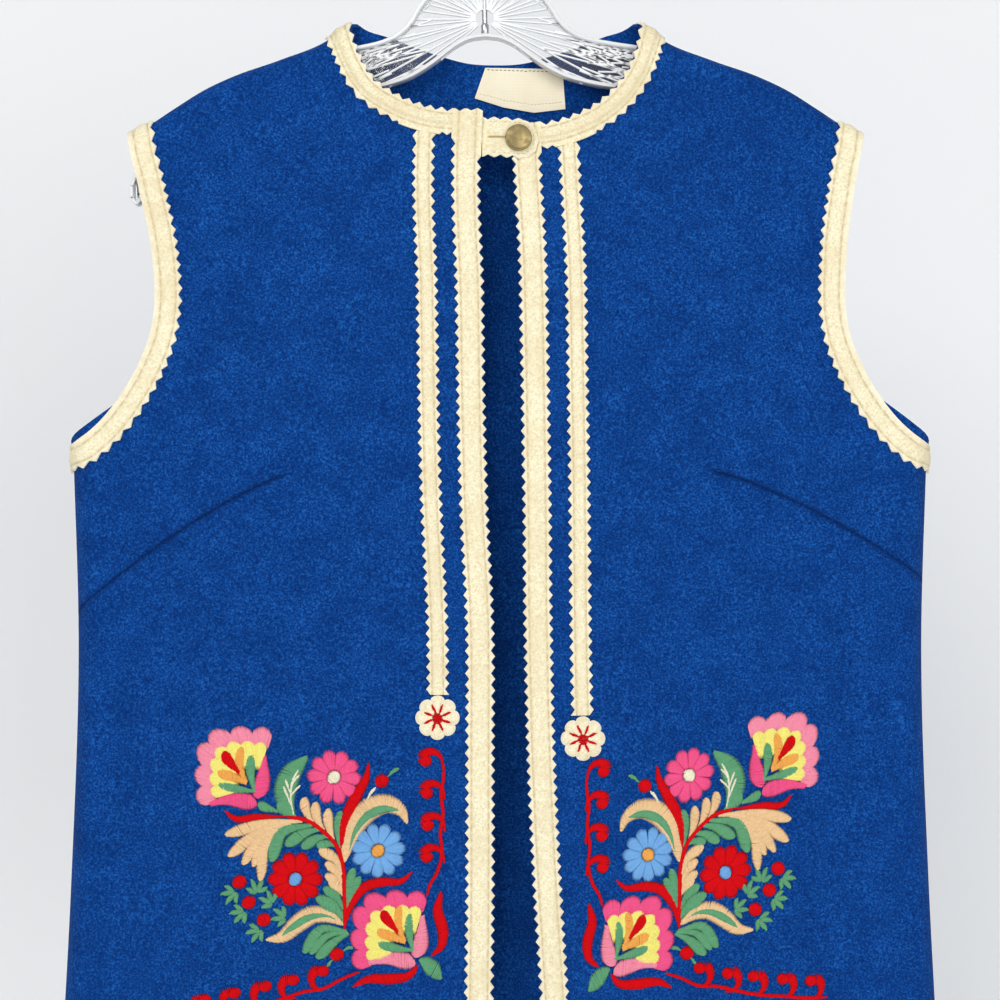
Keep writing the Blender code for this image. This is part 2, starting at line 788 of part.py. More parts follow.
def make_armhole_trim(side, group):
    """One band round an armhole, its teeth on the body side."""
    path = armhole(FRONT, side).reversed().joined(armhole(BACK, side))
    name = f"armhole_trim_{SIDE_NAMES[side]}"
    return make_band(name, path, ARMHOLE_TRIM_WIDTH, 0.0, TOOTH_DEPTH, group)


def make_edge_trim(side, group):
    """The wide trim down one front edge, plain where the neck trim meets it."""
    top = float(NECK_FRONT[SIDE_NAMES[side]][-1])
    lower = neck_band_edge(side)
    path = front_edge(side, top, HEM)
    path.turn_at_end((1.0, EDGE_TRIM_TOP_SLOPE[side]), END_BLEND, last=False)

    def outer_teeth(flat):
        """Leave the edge plain beside the neck trim."""
        beside = flat[:, 1] > lower(flat[:, 0] + side * EDGE_TRIM_WIDTH) - TRIM_OVERHANG
        return np.where(beside, 0.0, TOOTH_DEPTH)

    name = f"front_edge_trim_{SIDE_NAMES[side]}"
    return make_band(name, path, EDGE_TRIM_WIDTH, TOOTH_DEPTH, outer_teeth, group)


def make_strip(side, group):
    """The thin strip beside a wide trim, from the neck trim down to its rosette."""
    lower = neck_band_edge(side)
    inner = STRIP_OFFSET - STRIP_WIDTH / 2
    near = EDGE_ACROSS[side](TAB_ROOT_HEIGHT) + side * inner
    far = near + side * STRIP_WIDTH
    top = float(lower(near)) - GAP
    path = front_edge(side, top, STRIP_END[side], inner)
    slant = (far - near, float(lower(far)) - GAP - top)
    path.turn_at_end(slant, END_BLEND, last=False)
    name = f"front_strip_{SIDE_NAMES[side]}"
    return make_band(name, path, STRIP_WIDTH, TOOTH_DEPTH, TOOTH_DEPTH, group)


def make_rosette(side, group):
    """An eight-petalled felt flower under the end of a thin strip."""
    name = f"rosette_{SIDE_NAMES[side]}"
    height = STRIP_END[side] - GAP - ROSETTE_DROP
    across = float(strip_centre(side, height))
    bm = bmesh.new()
    bmesh.ops.create_circle(bm, cap_ends=True, cap_tris=True, segments=6 * ROSETTE_PETALS, radius=1)
    for vert in bm.verts:
        angle = math.atan2(vert.co.y, vert.co.x)
        petal = abs(math.cos(ROSETTE_PETALS / 2 * angle)) ** ROSETTE_FULLNESS
        radius = vert.co.length * (ROSETTE_RADIUS - ROSETTE_NOTCH * (1 - petal))
        flat = (across + radius * math.cos(angle), height + radius * math.sin(angle))
        out = WALL / 2 + GAP + TRIM_THICKNESS / 2
        vert.co = Vector(sheet_points(FRONT, *flat, out)) * MM
    mesh = bpy.data.meshes.new(name)
    bm.to_mesh(mesh)
    bm.free()
    return add_wall(add_object(name, mesh, group, "cream_felt"), TRIM_THICKNESS)


# ----------------------------------------------------------- tab, button and label


def tab_slope():
    """Fall of the tab's centre line from its root to the button."""
    return (BUTTON_HEIGHT - TAB_ROOT_HEIGHT) / (BUTTON_ACROSS - tab_root())


def tab_root():
    """Distance across of the tab's root, beside the left front's edge."""
    return float(EDGE_ACROSS[LEFT](TAB_ROOT_HEIGHT + TAB_HALF_WIDTH)) - TRIM_OVERHANG + 2 * GAP


def tab_outline():
    """Pairs of offsets along and across the tab's centre line, root to rounded end."""
    length = BUTTON_ACROSS - tab_root()
    pairs = []
    for step in range(TAB_STRAIGHT_STEPS):
        half = TAB_HALF_WIDTH - TAB_TOOTH * (step % 2)
        pairs.append((length * step / TAB_STRAIGHT_STEPS, half))
    for step in range(TAB_TURN_STEPS):
        angle = math.pi / 2 * step / TAB_TURN_STEPS
        radius = TAB_HALF_WIDTH - TAB_END_SCALLOP * (step % 2)
        pairs.append((length + radius * math.sin(angle), radius * math.cos(angle)))
    pairs.append((length + TAB_HALF_WIDTH, TAB_END_FLAT))
    return pairs


def tab_level(across):
    """How far the tab's middle stands off the front's middle."""
    root = (WALL - TAB_THICKNESS) / 2
    top = WALL / 2 + GAP + TRIM_THICKNESS + GAP + TAB_THICKNESS / 2
    crossing = np.clip((across - tab_root() - TAB_ROOT_LAND) / TAB_CROSSING, 0, 1)
    return root + (top - root) * smooth_step(crossing)


def make_tab(group, cutters):
    """The closing tab, rooted at the left front and lying over the right one."""
    slope = tab_slope()
    rows = []
    for along, half in tab_outline():
        offsets = np.array([half, half / 3, -half / 3, -half])
        across = np.full(4, tab_root() + along)
        height = TAB_ROOT_HEIGHT + slope * along + offsets
        rows.append(sheet_points(FRONT, across, height, tab_level(across)))
    tab = add_object("closing_tab", grid_mesh("closing_tab", np.array(rows)), group, "cream_felt")
    add_wall(tab, TAB_THICKNESS)

    end = BUTTON_ACROSS + SHANK_WIDTH / 2 + SLIT_EASE
    middle = (SLIT_START + end) / 2
    height = TAB_ROOT_HEIGHT + slope * (middle - tab_root())
    centre = sheet_points(FRONT, middle, height, tab_level(BUTTON_ACROSS))
    bpy.ops.mesh.primitive_cube_add(size=1)
    slit = bpy.context.object
    slit.name = "tab_slit"
    slit.data.transform(scale_matrix(end - SLIT_START, SLIT_DEPTH, SLIT_WIDTH))
    slit.location = Vector(centre) * MM
    slit.rotation_euler = Euler((0, -math.atan(slope), 0))
    move_to(slit, cutters)
    mark_as_cutter(slit)
    add_cut(tab, slit)
    return tab


def scale_matrix(width, depth, height):
    """Matrix that gives a unit cube these sizes in millimetres."""
    return Matrix.Diagonal((width * MM, depth * MM, height * MM, 1))


def move_to(thing, group):
    """Move an object into one collection."""
    for holder in list(thing.users_collection):
        holder.objects.unlink(thing)
    group.objects.link(thing)


def make_button(group, cutters):
    """The flat brass button over the tab, its shank through the slit."""
    foot = WALL / 2 + GAP + TRIM_THICKNESS + GAP
    under = foot + TAB_THICKNESS + GAP
    centre = sheet_points(FRONT, BUTTON_ACROSS, BUTTON_HEIGHT)
    ahead = sheet_points(FRONT, BUTTON_ACROSS, BUTTON_HEIGHT, 1.0) - centre
    turn = Vector(ahead).to_track_quat("Z", "Y")

    top = under + BUTTON_THICKNESS
    profile = [
        (0, top),
        (BUTTON_RADIUS - BUTTON_RIM - BUTTON_RIM_SLOPE, top),
        (BUTTON_RADIUS - BUTTON_RIM, top + BUTTON_RIM_RISE),
        (BUTTON_RADIUS - BUTTON_EDGE_SLOPE, top + BUTTON_RIM_RISE),
        (BUTTON_RADIUS, top),
        (BUTTON_RADIUS, under + BUTTON_FOOT_SLOPE),
        (BUTTON_RADIUS - BUTTON_FOOT_SLOPE, under),
        (0, under),
    ]
    mesh = bpy.data.meshes.new("button")
    edges = [(k, k + 1) for k in range(len(profile) - 1)]
    mesh.from_pydata([(r * MM, 0, z * MM) for r, z in profile], edges, [])
    button = add_object("button", mesh, group, "brass")
    turned = button.modifiers.new("turned", "SCREW")
    turned.steps = BUTTON_SIDES
    turned.render_steps = BUTTON_SIDES
    turned.use_merge_vertices = True
    turned.merge_threshold = MERGE_DISTANCE

    bpy.ops.mesh.primitive_cube_add(size=1)
    shank = bpy.context.object
    shank.name = "button_shank"
    root = under + SHANK_ROOT
    shank.data.transform(scale_matrix(SHANK_WIDTH, SHANK_THICKNESS, root - foot))
    shank.data.transform(shift_matrix(0, 0, (root + foot) / 2))
    move_to(shank, cutters)
    mark_as_cutter(shank)
    for thing in (button, shank):
        thing.location = Vector(centre) * MM
        thing.rotation_euler = turn.to_euler()
    add_cut(button, shank, "UNION")
    return button


def shift_matrix(x, y, z):
    """Matrix that moves by millimetres."""
    return Matrix.Translation((x * MM, y * MM, z * MM))


def make_label(group):
    """The bare cotton label inside the back neck."""
    out = -(WALL / 2 + GAP + LABEL_THICKNESS / 2)
    rows = []
    for share in LABEL_ROWS:
        across = (1 - share) * LABEL["top_across"] + share * LABEL["bottom_across"]
        height = (1 - share) * LABEL["top_height"] + share * LABEL["bottom_height"]
        rows.append(sheet_points(BACK, across, height, out))
    label = add_object("neck_label", grid_mesh("neck_label", np.array(rows)), group, "label_cotton")
    return add_wall(label, LABEL_THICKNESS)


# --------------------------------------------------------------------------- hanger


def hanger_ring(across, top, bottom):
    """Slab section of an arm with round top and bottom, as points round it."""
    radius = min(HANGER_THICKNESS / 2, (top - bottom) / 2)
    points = []
    for centre, first in ((top - radius, 0.0), (bottom + radius, math.pi)):
        for step in range(RING_HALF_POINTS):
            angle = first + math.pi * step / (RING_HALF_POINTS - 1)
            points.append((across, radius * math.cos(angle), centre + radius * math.sin(angle)))
    return points


def make_hanger(group, cutters):
    """Both arms lofted from one half, with a bore for the hook's stem."""
    bm = bmesh.new()
    rings = []
    for row in zip(*HANGER_ARM.values()):
        rings.append([bm.verts.new(Vector(point) * MM) for point in hanger_ring(*row)])
    count = len(rings[0])
    for near, far in zip(rings, rings[1:]):
        for step in range(count):
            after = (step + 1) % count
            bm.faces.new((near[step], near[after], far[after], far[step]))
    bm.faces.new(rings[-1])
    mesh = bpy.data.meshes.new("hanger_body")
    bm.to_mesh(mesh)
    bm.free()
    body = add_object("hanger_body", mesh, group, "clear_plastic")
    mirror = body.modifiers.new("other_arm", "MIRROR")
    mirror.use_axis[0] = True
    mirror.merge_threshold = MERGE_DISTANCE

    top, bottom = HANGER_ARM["top"][0], HANGER_ARM["bottom"][0]
    radius = (WIRE_RADIUS + GAP) * MM
    depth = (top - bottom + 2 * BORE_OVERRUN) * MM
    bpy.ops.mesh.primitive_cylinder_add(vertices=BORE_SIDES, radius=radius, depth=depth)
    bore = bpy.context.object
    bore.name = "stem_bore"
    bore.data.transform(shift_matrix(0, 0, (top + bottom) / 2))
    move_to(bore, cutters)
    mark_as_cutter(bore)
    add_cut(body, bore)
    for thing in (body, bore):
        thing.rotation_euler = Euler((0, HANGER_TILT, 0))
    return body


def hook_route():
    """Centre line of the hook's wire, from its tip over the top and down the stem."""
    radius = HOOK_INNER_RADIUS + WIRE_RADIUS
    angles = np.radians(np.linspace(HOOK_TIP_ANGLE, HOOK_NECK_ANGLE, HOOK_ARC_STEPS + 1))
    route = [(radius * math.cos(a), -HOOK_INNER_RADIUS + radius * math.sin(a)) for a in angles]
    start = np.array(route[-1])
    heading = np.array([math.sin(angles[-1]), -math.cos(angles[-1])])
    stem = np.array([0.0, STEM_TOP])
    handles = (start + STEM_PULL * heading, stem + (0.0, STEM_PULL))
    for t in np.linspace(0, 1, STEM_BEND_STEPS + 1)[1:]:
        point = (1 - t) ** 3 * start + 3 * t * (1 - t) ** 2 * handles[0]
        route.append(tuple(point + 3 * t * t * (1 - t) * handles[1] + t**3 * stem))
    route.append((0.0, STEM_BOTTOM))
    return route


def make_hook(group):
    """The round wire hook and its stem."""
    wire = bpy.data.curves.new("hanger_hook", "CURVE")
    wire.dimensions = "3D"
    wire.bevel_depth = WIRE_RADIUS * MM
    wire.bevel_resolution = 2
    wire.use_fill_caps = True
    wire.render_resolution_u = 0
    spline = wire.splines.new("POLY")
    route = hook_route()
    spline.points.add(len(route) - 1)
    for point, (x, z) in zip(spline.points, route):
        point.co = (x * MM, 0, z * MM, 1)
    hook = add_object("hanger_hook", wire, group, "steel")
    hook.rotation_euler = Euler((0, HANGER_TILT, 0))
    return hook


def main():
    """Build the vest and its hanger."""
    remove_all_objects()
    group = collection(COLLECTION)
    cutters = collection("cutters")
    for side in (LEFT, RIGHT):
        make_panel(f"front_panel_{SIDE_NAMES[side]}", FRONT, front_flat(side), group)
        make_armhole_trim(side, group)
        make_edge_trim(side, group)
        make_strip(side, group)
        make_rosette(side, group)
    make_panel("back_panel", BACK, back_flat(), group)
    make_neck_trim(group)
    make_label(group)
    make_tab(group, cutters)
    make_button(group, cutters)
    make_hanger(group, cutters)
    make_hook(group)


main()
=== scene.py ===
"""Looks of the embroidered folk vest: wool, pinked felt trims, yarn embroidery and hanger.

Sizes are in millimetres and meshes are written in metres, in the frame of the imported
model: +X is the viewer's right, +Z is up and the vest's front faces -Y.  The cloth is
worked out on flat pattern coordinates, "across" from the centre line and "height" below
the hook, and HangingCloth lays them on the sheets that hang from the hanger.
"""

from __future__ import annotations

import logging
import math
from collections.abc import Callable, Iterable, Sequence
from dataclasses import dataclass, field
from enum import Enum

import bpy
import numpy as np
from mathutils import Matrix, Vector


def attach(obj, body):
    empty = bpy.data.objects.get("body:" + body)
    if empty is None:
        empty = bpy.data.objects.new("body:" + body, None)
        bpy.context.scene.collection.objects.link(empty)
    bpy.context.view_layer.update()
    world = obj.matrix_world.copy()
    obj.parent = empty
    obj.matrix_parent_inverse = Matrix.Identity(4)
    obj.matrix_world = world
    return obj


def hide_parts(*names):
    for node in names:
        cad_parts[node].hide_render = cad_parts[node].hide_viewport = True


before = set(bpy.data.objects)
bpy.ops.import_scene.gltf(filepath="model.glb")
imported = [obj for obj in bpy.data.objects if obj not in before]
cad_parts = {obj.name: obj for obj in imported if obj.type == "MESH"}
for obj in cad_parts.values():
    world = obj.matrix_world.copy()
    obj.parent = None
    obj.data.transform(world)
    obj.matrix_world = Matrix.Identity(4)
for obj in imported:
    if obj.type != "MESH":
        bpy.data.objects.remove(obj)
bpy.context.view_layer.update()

MM = 0.001
BODY = "root"
LOG = logging.getLogger("vest")
Numbers = np.ndarray
Pair = tuple[float, float]
Colour = tuple[float, float, float]


class Named(Enum):
    """A choice whose lower-case name is part of the pieces' names."""

    @property
    def word(self) -> str:
        """The name in lower case."""
        return self.name.lower()


class Face(Named):
    """The two sheets of the vest."""

    FRONT = -1
    BACK = 1


class Side(Named):
    """Left and right as the viewer sees them."""

    LEFT = -1
    RIGHT = 1


class Yarn(Named):
    """Embroidery yarns and their colours, linear red, green and blue."""

    HOT_PINK = (0.935, 0.104, 0.280)
    LIGHT_PINK = (0.980, 0.300, 0.420)
    YELLOW = (0.960, 0.840, 0.210)
    ORANGE = (0.960, 0.440, 0.095)
    GREEN = (0.140, 0.400, 0.205)
    RED = (0.720, 0.0006, 0.0050)
    TAN = (0.900, 0.620, 0.340)
    LIGHT_BLUE = (0.192, 0.440, 0.800)
    WHITE = (0.960, 0.880, 0.680)


# ------------------------------------------------------------------ lines and numbers


def smooth_step(share: Numbers | float) -> Numbers:
    """Rise gently from 0 to 1 as the share, clipped, goes from 0 to 1."""
    share = np.clip(share, 0.0, 1.0)
    return share * share * (3 - 2 * share)


def hump(off: Numbers | float, width: float) -> Numbers:
    """A smooth hump: 1 at no offset, fading over a width."""
    return np.exp(-((off / width) ** 2))


def tooth_wave(phase: Numbers | float) -> Numbers:
    """Pinked zigzag: 0 at even half teeth and 1 at odd ones, straight between."""
    return 1 - np.abs(np.mod(phase, 2) - 1)


def unit(vectors: Numbers) -> Numbers:
    """Scale vectors along the last axis to length one."""
    return vectors / np.maximum(np.linalg.norm(vectors, axis=-1, keepdims=True), 1e-9)


def paired(first: Numbers, second: Numbers) -> Numbers:
    """Put two arrays of coordinates together as flat points."""
    return np.stack([first, second], axis=-1)


def lengths(points: Numbers) -> Numbers:
    """Length along a line at each of its points."""
    return np.concatenate([[0], np.cumsum(np.linalg.norm(np.diff(points, axis=0), axis=1))])


def read_at(at: Numbers, along: Numbers, rows: Numbers) -> Numbers:
    """Read the rows of an array at places along it."""
    return np.stack([np.interp(at, along, column) for column in rows.T], axis=1)


def resample(points: Numbers, shares: Numbers) -> Numbers:
    """Read a line of flat points at shares of its length."""
    length = lengths(points)
    return read_at(np.asarray(shares) * length[-1], length, points)


def clustered(reach: float, first: float, growth: float, largest: float) -> Numbers:
    """Distances from 0 to a reach whose steps start small and grow.

    Args:
        reach: The last distance.
        first: The first step.
        growth: How much longer each step is than the one before.
        largest: The longest step.

    Returns:
        The distances, 0 and the reach among them.
    """
    distances = [0.0]
    step = first
    while distances[-1] < reach:
        distances.append(distances[-1] + step)
        step = min(step * growth, largest)
    return np.array(distances) * reach / distances[-1]


class Glide:
    """A smooth curve through a few values, straight past both ends."""

    def __init__(self, places: Numbers, values: Numbers) -> None:
        """Sort the values by their places and find the slopes.

        Args:
            places: Where the values are.
            values: One value for each place.
        """
        order = np.argsort(places)
        self.places, self.values = places[order], values[order]
        self.slopes = np.gradient(self.values, self.places)

    def __call__(self, at: Numbers | float) -> Numbers:
        """Read the curve at one place or an array of places.

        Args:
            at: The places.

        Returns:
            The values there.
        """
        at = np.asarray(at, float)
        inside = np.clip(at, self.places[0], self.places[-1])
        step = np.clip(np.searchsorted(self.places, inside) - 1, 0, len(self.places) - 2)
        span = self.places[step + 1] - self.places[step]
        t = (inside - self.places[step]) / span
        start = self.values[step] * (1 + 2 * t) * (1 - t) ** 2
        end = self.values[step + 1] * (3 - 2 * t) * t**2
        rise = self.slopes[step] * t * (1 - t) ** 2 - self.slopes[step + 1] * (1 - t) * t**2
        end_slope = np.where(at < inside, self.slopes[0], self.slopes[-1])
        return start + end + rise * span + (at - inside) * end_slope


def glide_through(length: Numbers, points: Numbers, count: int) -> Numbers:
    """Run a smooth line through flat points, given how far along it each one lies."""
    at = np.linspace(0, length[-1], count)
    return paired(*(Glide(length, column)(at) for column in points.T))


def table(*rows: tuple[float, ...]) -> Numbers:
    """Turn the rows of a short table into one array for each column."""
    return np.array(rows, float).T


# ------------------------------------------------------------------------- the cut

# Crest of the shoulder by distance across, from inside the neck point out to the tip
SHOULDER_CREST = Glide(*table(
    (60, -79.0), (78, -91.5), (92, -101.2), (117, -111.4), (144, -121.0), (158, -127.6),
    (175, -138.2), (188, -146.7), (200, -153.0)))

# Half width of the body by height, below the underarm
SIDE_ACROSS = Glide(*table((-322, 232.0), (-430, 229.0), (-560, 233.0), (-656, 238.0)))

# Edge of the armhole, from the shoulder tip down to the underarm
ARMHOLE_HEIGHT, ARMHOLE_ACROSS = table(
    (-153, 200.0), (-163, 198.4), (-173, 196.0), (-189, 192.9), (-204, 190.0), (-225, 187.6),
    (-246, 187.0), (-262, 189.4), (-276, 194.6), (-290, 202.0), (-301, 209.5), (-311, 218.5),
    (-318, 227.5), (-322, 239.0))

# Neckline of the left and right front and of the back, at the trim's teeth
NECK_ACROSS, *NECK_HEIGHTS = table(
    (78, -91.5, -91.5), (76.3, -99.5, -102.5), (71.5, -111.5, -115.5), (64.5, -122.5, -126.0),
    (55, -129.5, -135.0), (44, -134.8, -141.2), (33, -138.0, -145.2), (20, -139.6, -147.4),
    (5, -141.2, -148.8))
NECK_FRONT = dict(zip(Side, NECK_HEIGHTS))
BACK_ACROSS, BACK_HEIGHT = table(
    (0, -111.6), (14, -110.9), (30, -107.0), (45, -102.2), (60, -96.6), (71, -93.2), (78, -91.5))

# Left and right front edges along the opening, at the wide trims' teeth
EDGE_HEIGHT, *EDGE_PLACES = table(
    (-139, -6.6, 8.0), (-189, -8.7, 9.1), (-243, -8.3, 10.1), (-351, -6.2, 11.9),
    (-420, -2.9, 12.5), (-490, -2.7, 14.1), (-558, -2.7, 17.3), (-621, -3.3, 21.3),
    (-656, -3.8, 23.3))
EDGE_ACROSS = {side: Glide(EDGE_HEIGHT, places) for side, places in zip(Side, EDGE_PLACES)}

# Label: third of its width, then across and height of its top edge and of its bottom edge
LABEL_THIRD, *LABEL_ENDS = table(
    (0, -5.6, -112.6, -11.5, -129.5), (1, 8.6, -112.8, 4.5, -134.4),
    (2, 22.9, -113.0, 21.4, -137.4), (3, 37.1, -113.8, 38.7, -135.4))

# Soft folds and creases: the sheet, across at the top and bottom, height of the top and
# bottom, half width, and how far it stands out
FOLDS = (
    (Face.FRONT, -84, -100, -235, -520, 21, -2.6), (Face.FRONT, 96, 104, -205, -560, 20, -2.8),
    (Face.FRONT, -150, -168, -300, -690, 26, 2.4), (Face.FRONT, 150, 158, -360, -690, 24, 2.2),
    (Face.FRONT, 188, 182, -520, -760, 20, -2.4), (Face.FRONT, -60, -66, -500, -760, 24, 1.6),
    (Face.BACK, -92, -112, -220, -600, 24, -2.6), (Face.BACK, 84, 100, -240, -560, 22, -2.4),
    (Face.BACK, -20, -30, -330, -760, 30, 2.2), (Face.BACK, 160, 172, -400, -760, 26, 2.2))
CREASES = (
    (Face.FRONT, -150, -112, -150, -330, 12, -0.9), (Face.FRONT, 152, 118, -150, -320, 13, -0.8),
    (Face.FRONT, -182, -130, -235, -345, 9, -0.7), (Face.FRONT, 182, 134, -240, -350, 9, -0.7),
    (Face.FRONT, -112, -118, -345, -600, 15, -0.9), (Face.FRONT, 112, 122, -345, -620, 14, -0.8),
    (Face.FRONT, -196, -204, -430, -690, 13, 0.9), (Face.FRONT, 208, 204, -430, -690, 14, 0.9),
    (Face.BACK, -140, -96, -150, -340, 13, -0.9), (Face.BACK, 146, 104, -150, -330, 12, -0.9),
    (Face.BACK, -184, -120, -240, -400, 12, 0.8), (Face.BACK, 186, 132, -245, -420, 12, 0.7),
    (Face.BACK, 30, 44, -130, -420, 18, -0.8), (Face.BACK, -190, -196, -380, -690, 15, -1.0))

# Upper and lower edge of a hanger arm, in the hanger's own upright frame
ARM_ACROSS, ARM_TOP, ARM_BOTTOM = table(
    (0, -64.0, -98.6), (8, -64.8, -99.6), (16, -67.0, -103.4), (24, -70.6, -109.4),
    (32, -75.6, -115.0), (36, -80.5, -117.4), (40, -87.6, -119.6), (48, -95.6, -122.6),
    (56, -99.2, -124.8), (68, -101.9, -127.2), (84, -104.6, -129.2), (100, -108.0, -131.2),
    (118, -113.75, -135.2), (136, -119.95, -142.4), (152, -128.0, -151.4),
    (166, -138.0, -162.0), (178, -150.0, -173.5), (187, -161.0, -183.5),
    (192, -169.5, -187.0), (195, -176.5, -183.5))


# ------------------------------------------------------------------ the hanging cloth


@dataclass(frozen=True)
class Dart:
    """A bust dart's seam on one front."""

    side: Side
    tip_across: float = 114.5
    tip_height: float = -335.5
    slope: float = 0.45
    bend: float = 0.0018
    tip_bend: float = 8.0
    groove: float = 1.5
    groove_width: float = 1.0
    ridge: float = 0.75
    ridge_width: float = 5.0

    def line(self, across: Numbers | float) -> Numbers:
        """Height of the seam, level inside its tip."""
        past = np.abs(across) - self.tip_across
        past = (past + np.sqrt(past**2 + self.tip_bend**2)) / 2
        return self.tip_height - self.slope * past - self.bend * past**2

    def reach(self, across: Numbers) -> Numbers:
        """How strongly the seam shows, from 0 inside its tip to 1."""
        past = np.abs(across) - self.tip_across
        return smooth_step((past + 2) / 5) * (np.sign(across) == self.side.value)

    def depth(self, across: Numbers, height: Numbers) -> Numbers:
        """How far the dart moves the cloth out, less than zero in its groove."""
        off = height - self.line(across)
        above = self.ridge * hump(off - 4, self.ridge_width)
        below = 0.6 * self.ridge * hump(off + 5, self.ridge_width)
        return self.reach(across) * (above + below - self.groove * hump(off, self.groove_width))


DARTS = {Side.LEFT: Dart(Side.LEFT), Side.RIGHT: Dart(Side.RIGHT, tip_height=-334.3, slope=0.31)}


@dataclass(frozen=True)
class Drape:
    """How deep one sheet stands off the hanger's plane."""

    chest: float
    hem: float
    neck: float
    bust: float


DRAPES = {Face.FRONT: Drape(8.0, 3.0, 5.0, 4.5), Face.BACK: Drape(6.5, 2.0, 4.0, 0.0)}


@dataclass(frozen=True)
class HangingCloth:
    """The vest's sheets, from flat pattern points to places in the air."""

    wall: float = 2.2
    gap: float = 0.3
    shoulder_roll: float = 6.4
    side_roll: float = 12.0
    centre_x: float = 7.2
    centre_lean: float = 2.5
    lean_heights: Pair = (-150.0, -240.0)
    hem: float = -656.0
    underarm: float = -322.0
    side_flare: float = 0.6
    crest_start: float = 60.0
    chest_drop: float = 200.0
    neck_spread: float = 120.0
    neck_drop: float = 45.0
    neck_fade: Pair = (-150.0, -320.0)
    bust: Pair = (114.0, -342.0)
    bust_spread: float = 62.0
    fold_fade: float = 90.0
    ripple: float = 0.16
    normal_step: float = 0.05

    def roll_allowance(self, radius: float) -> float:
        """Extra flat cloth that a quarter roll takes up."""
        return (math.pi / 2 - 1) * radius

    def shoulder_line(self, across: Numbers) -> Numbers:
        """Height on the flat pattern of the shoulder seam."""
        distance = np.maximum(np.abs(across), self.crest_start)
        return SHOULDER_CREST(distance) + self.roll_allowance(self.shoulder_roll)

    def side_line(self, height: Numbers | float) -> Numbers:
        """Distance on the flat pattern of the side seam from the centre."""
        above = np.maximum(np.asarray(height, float) - self.underarm, 0.0)
        base = SIDE_ACROSS(np.minimum(height, self.underarm))
        return base + self.side_flare * above + self.roll_allowance(self.side_roll)

    def folded(self, folds: Iterable[tuple], face: Face, across: Numbers,
               height: Numbers) -> Numbers:
        """Sum of soft folds at flat points.

        Args:
            folds: Rows of a table of folds.
            face: The sheet.
            across: Flat distance across.
            height: Flat height.

        Returns:
            How far the folds stand out.
        """
        depth = np.zeros(np.shape(across))
        for sheet, top_across, low_across, top, low, spread, out in folds:
            if sheet is face:
                length = top - low
                share = (top - height) / length
                line = top_across + share * (low_across - top_across)
                ends = smooth_step(share * length / self.fold_fade)
                ends = ends * smooth_step((1 - share) * length / self.fold_fade)
                depth = depth + out * ends * hump(across - line, spread)
        return depth

    def rippled(self, face: Face, across: Numbers, height: Numbers) -> Numbers:
        """Low uneven waves of a sheet that has been worn and hung."""
        turn = 1.3 * face.value
        waves = np.sin(across / 17 + height / 61 + turn) + np.sin(height / 23 - across / 43 + turn)
        waves = waves + 0.7 * np.sin(across / 9.1 - height / 12.7 + 2 * turn)
        return self.ripple * waves

    def depth(self, face: Face, across: Numbers, height: Numbers) -> Numbers:
        """Distance of a sheet from the hanger's plane, away from the rolled edges.

        Args:
            face: The sheet.
            across: Flat distance across.
            height: Flat height.

        Returns:
            The distance in millimetres.
        """
        drape = DRAPES[face]
        drop = self.shoulder_line(across) - height
        depth = self.shoulder_roll + drape.chest * smooth_step(drop / self.chest_drop)
        fall = (self.underarm - height) / (self.underarm - self.hem)
        depth = depth + drape.hem * smooth_step(fall)
        top, bottom = self.neck_fade
        fade = 1 - smooth_step((top - height) / (top - bottom))
        spread = np.clip(1 - (across / self.neck_spread) ** 2, 0, 1) ** 2
        depth = depth + drape.neck * fade * spread * smooth_step(drop / self.neck_drop)
        bust = (np.abs(across) - self.bust[0]) ** 2 + (height - self.bust[1]) ** 2
        depth = depth + drape.bust * np.exp(-bust / self.bust_spread**2)
        depth = depth + self.folded(FOLDS, face, across, height)
        fine = self.folded(CREASES, face, across, height) + self.rippled(face, across, height)
        if face is Face.FRONT:
            fine = fine + sum(dart.depth(across, height) for dart in DARTS.values())
        return depth + fine * smooth_step(drop / self.neck_drop)

    def middle(self, face: Face, across: Numbers, height: Numbers) -> Numbers:
        """Lay flat points on the middle of the hanging sheet.

        Args:
            face: The sheet.
            across: Flat distance across.
            height: Flat height.

        Returns:
            The points in the air.
        """
        quarter = math.pi / 2
        seam_line = self.shoulder_line(across)
        below = seam_line - height
        angle = np.minimum(below / self.shoulder_roll, quarter)
        straight = np.maximum(below - self.shoulder_roll * quarter, 0)
        crest = seam_line - self.roll_allowance(self.shoulder_roll)
        z = crest - self.shoulder_roll * (1 - np.cos(angle)) - straight

        seam = self.side_line(height)
        inward = seam - np.abs(across)
        side_angle = np.minimum(inward / self.side_roll, quarter)
        tucked = self.side_roll * (1 - np.cos(side_angle))
        tucked = tucked + np.maximum(inward - self.side_roll * quarter, 0)
        x = np.sign(across) * (seam - self.roll_allowance(self.side_roll) - tucked)
        top, bottom = self.lean_heights
        x = x + self.centre_x + self.centre_lean * smooth_step((top - z) / (top - bottom))

        y = self.depth(face, across, height) * np.sin(angle) * np.sin(side_angle)
        return np.stack(np.broadcast_arrays(x, face.value * y, z), axis=-1)

    def lay(self, face: Face, across: Numbers, height: Numbers) -> tuple[Numbers, Numbers]:
        """Lay flat points on the sheet.

        Args:
            face: The sheet.
            across: Flat distance across.
            height: Flat height.

        Returns:
            The points on the sheet's middle and the directions out of it.
        """
        across, height = np.asarray(across, float), np.asarray(height, float)
        step = self.normal_step
        along = self.middle(face, across + step, height) - self.middle(face, across - step, height)
        up = self.middle(face, across, height + step) - self.middle(face, across, height - step)
        return self.middle(face, across, height), unit(np.cross(along, up)) * -face.value

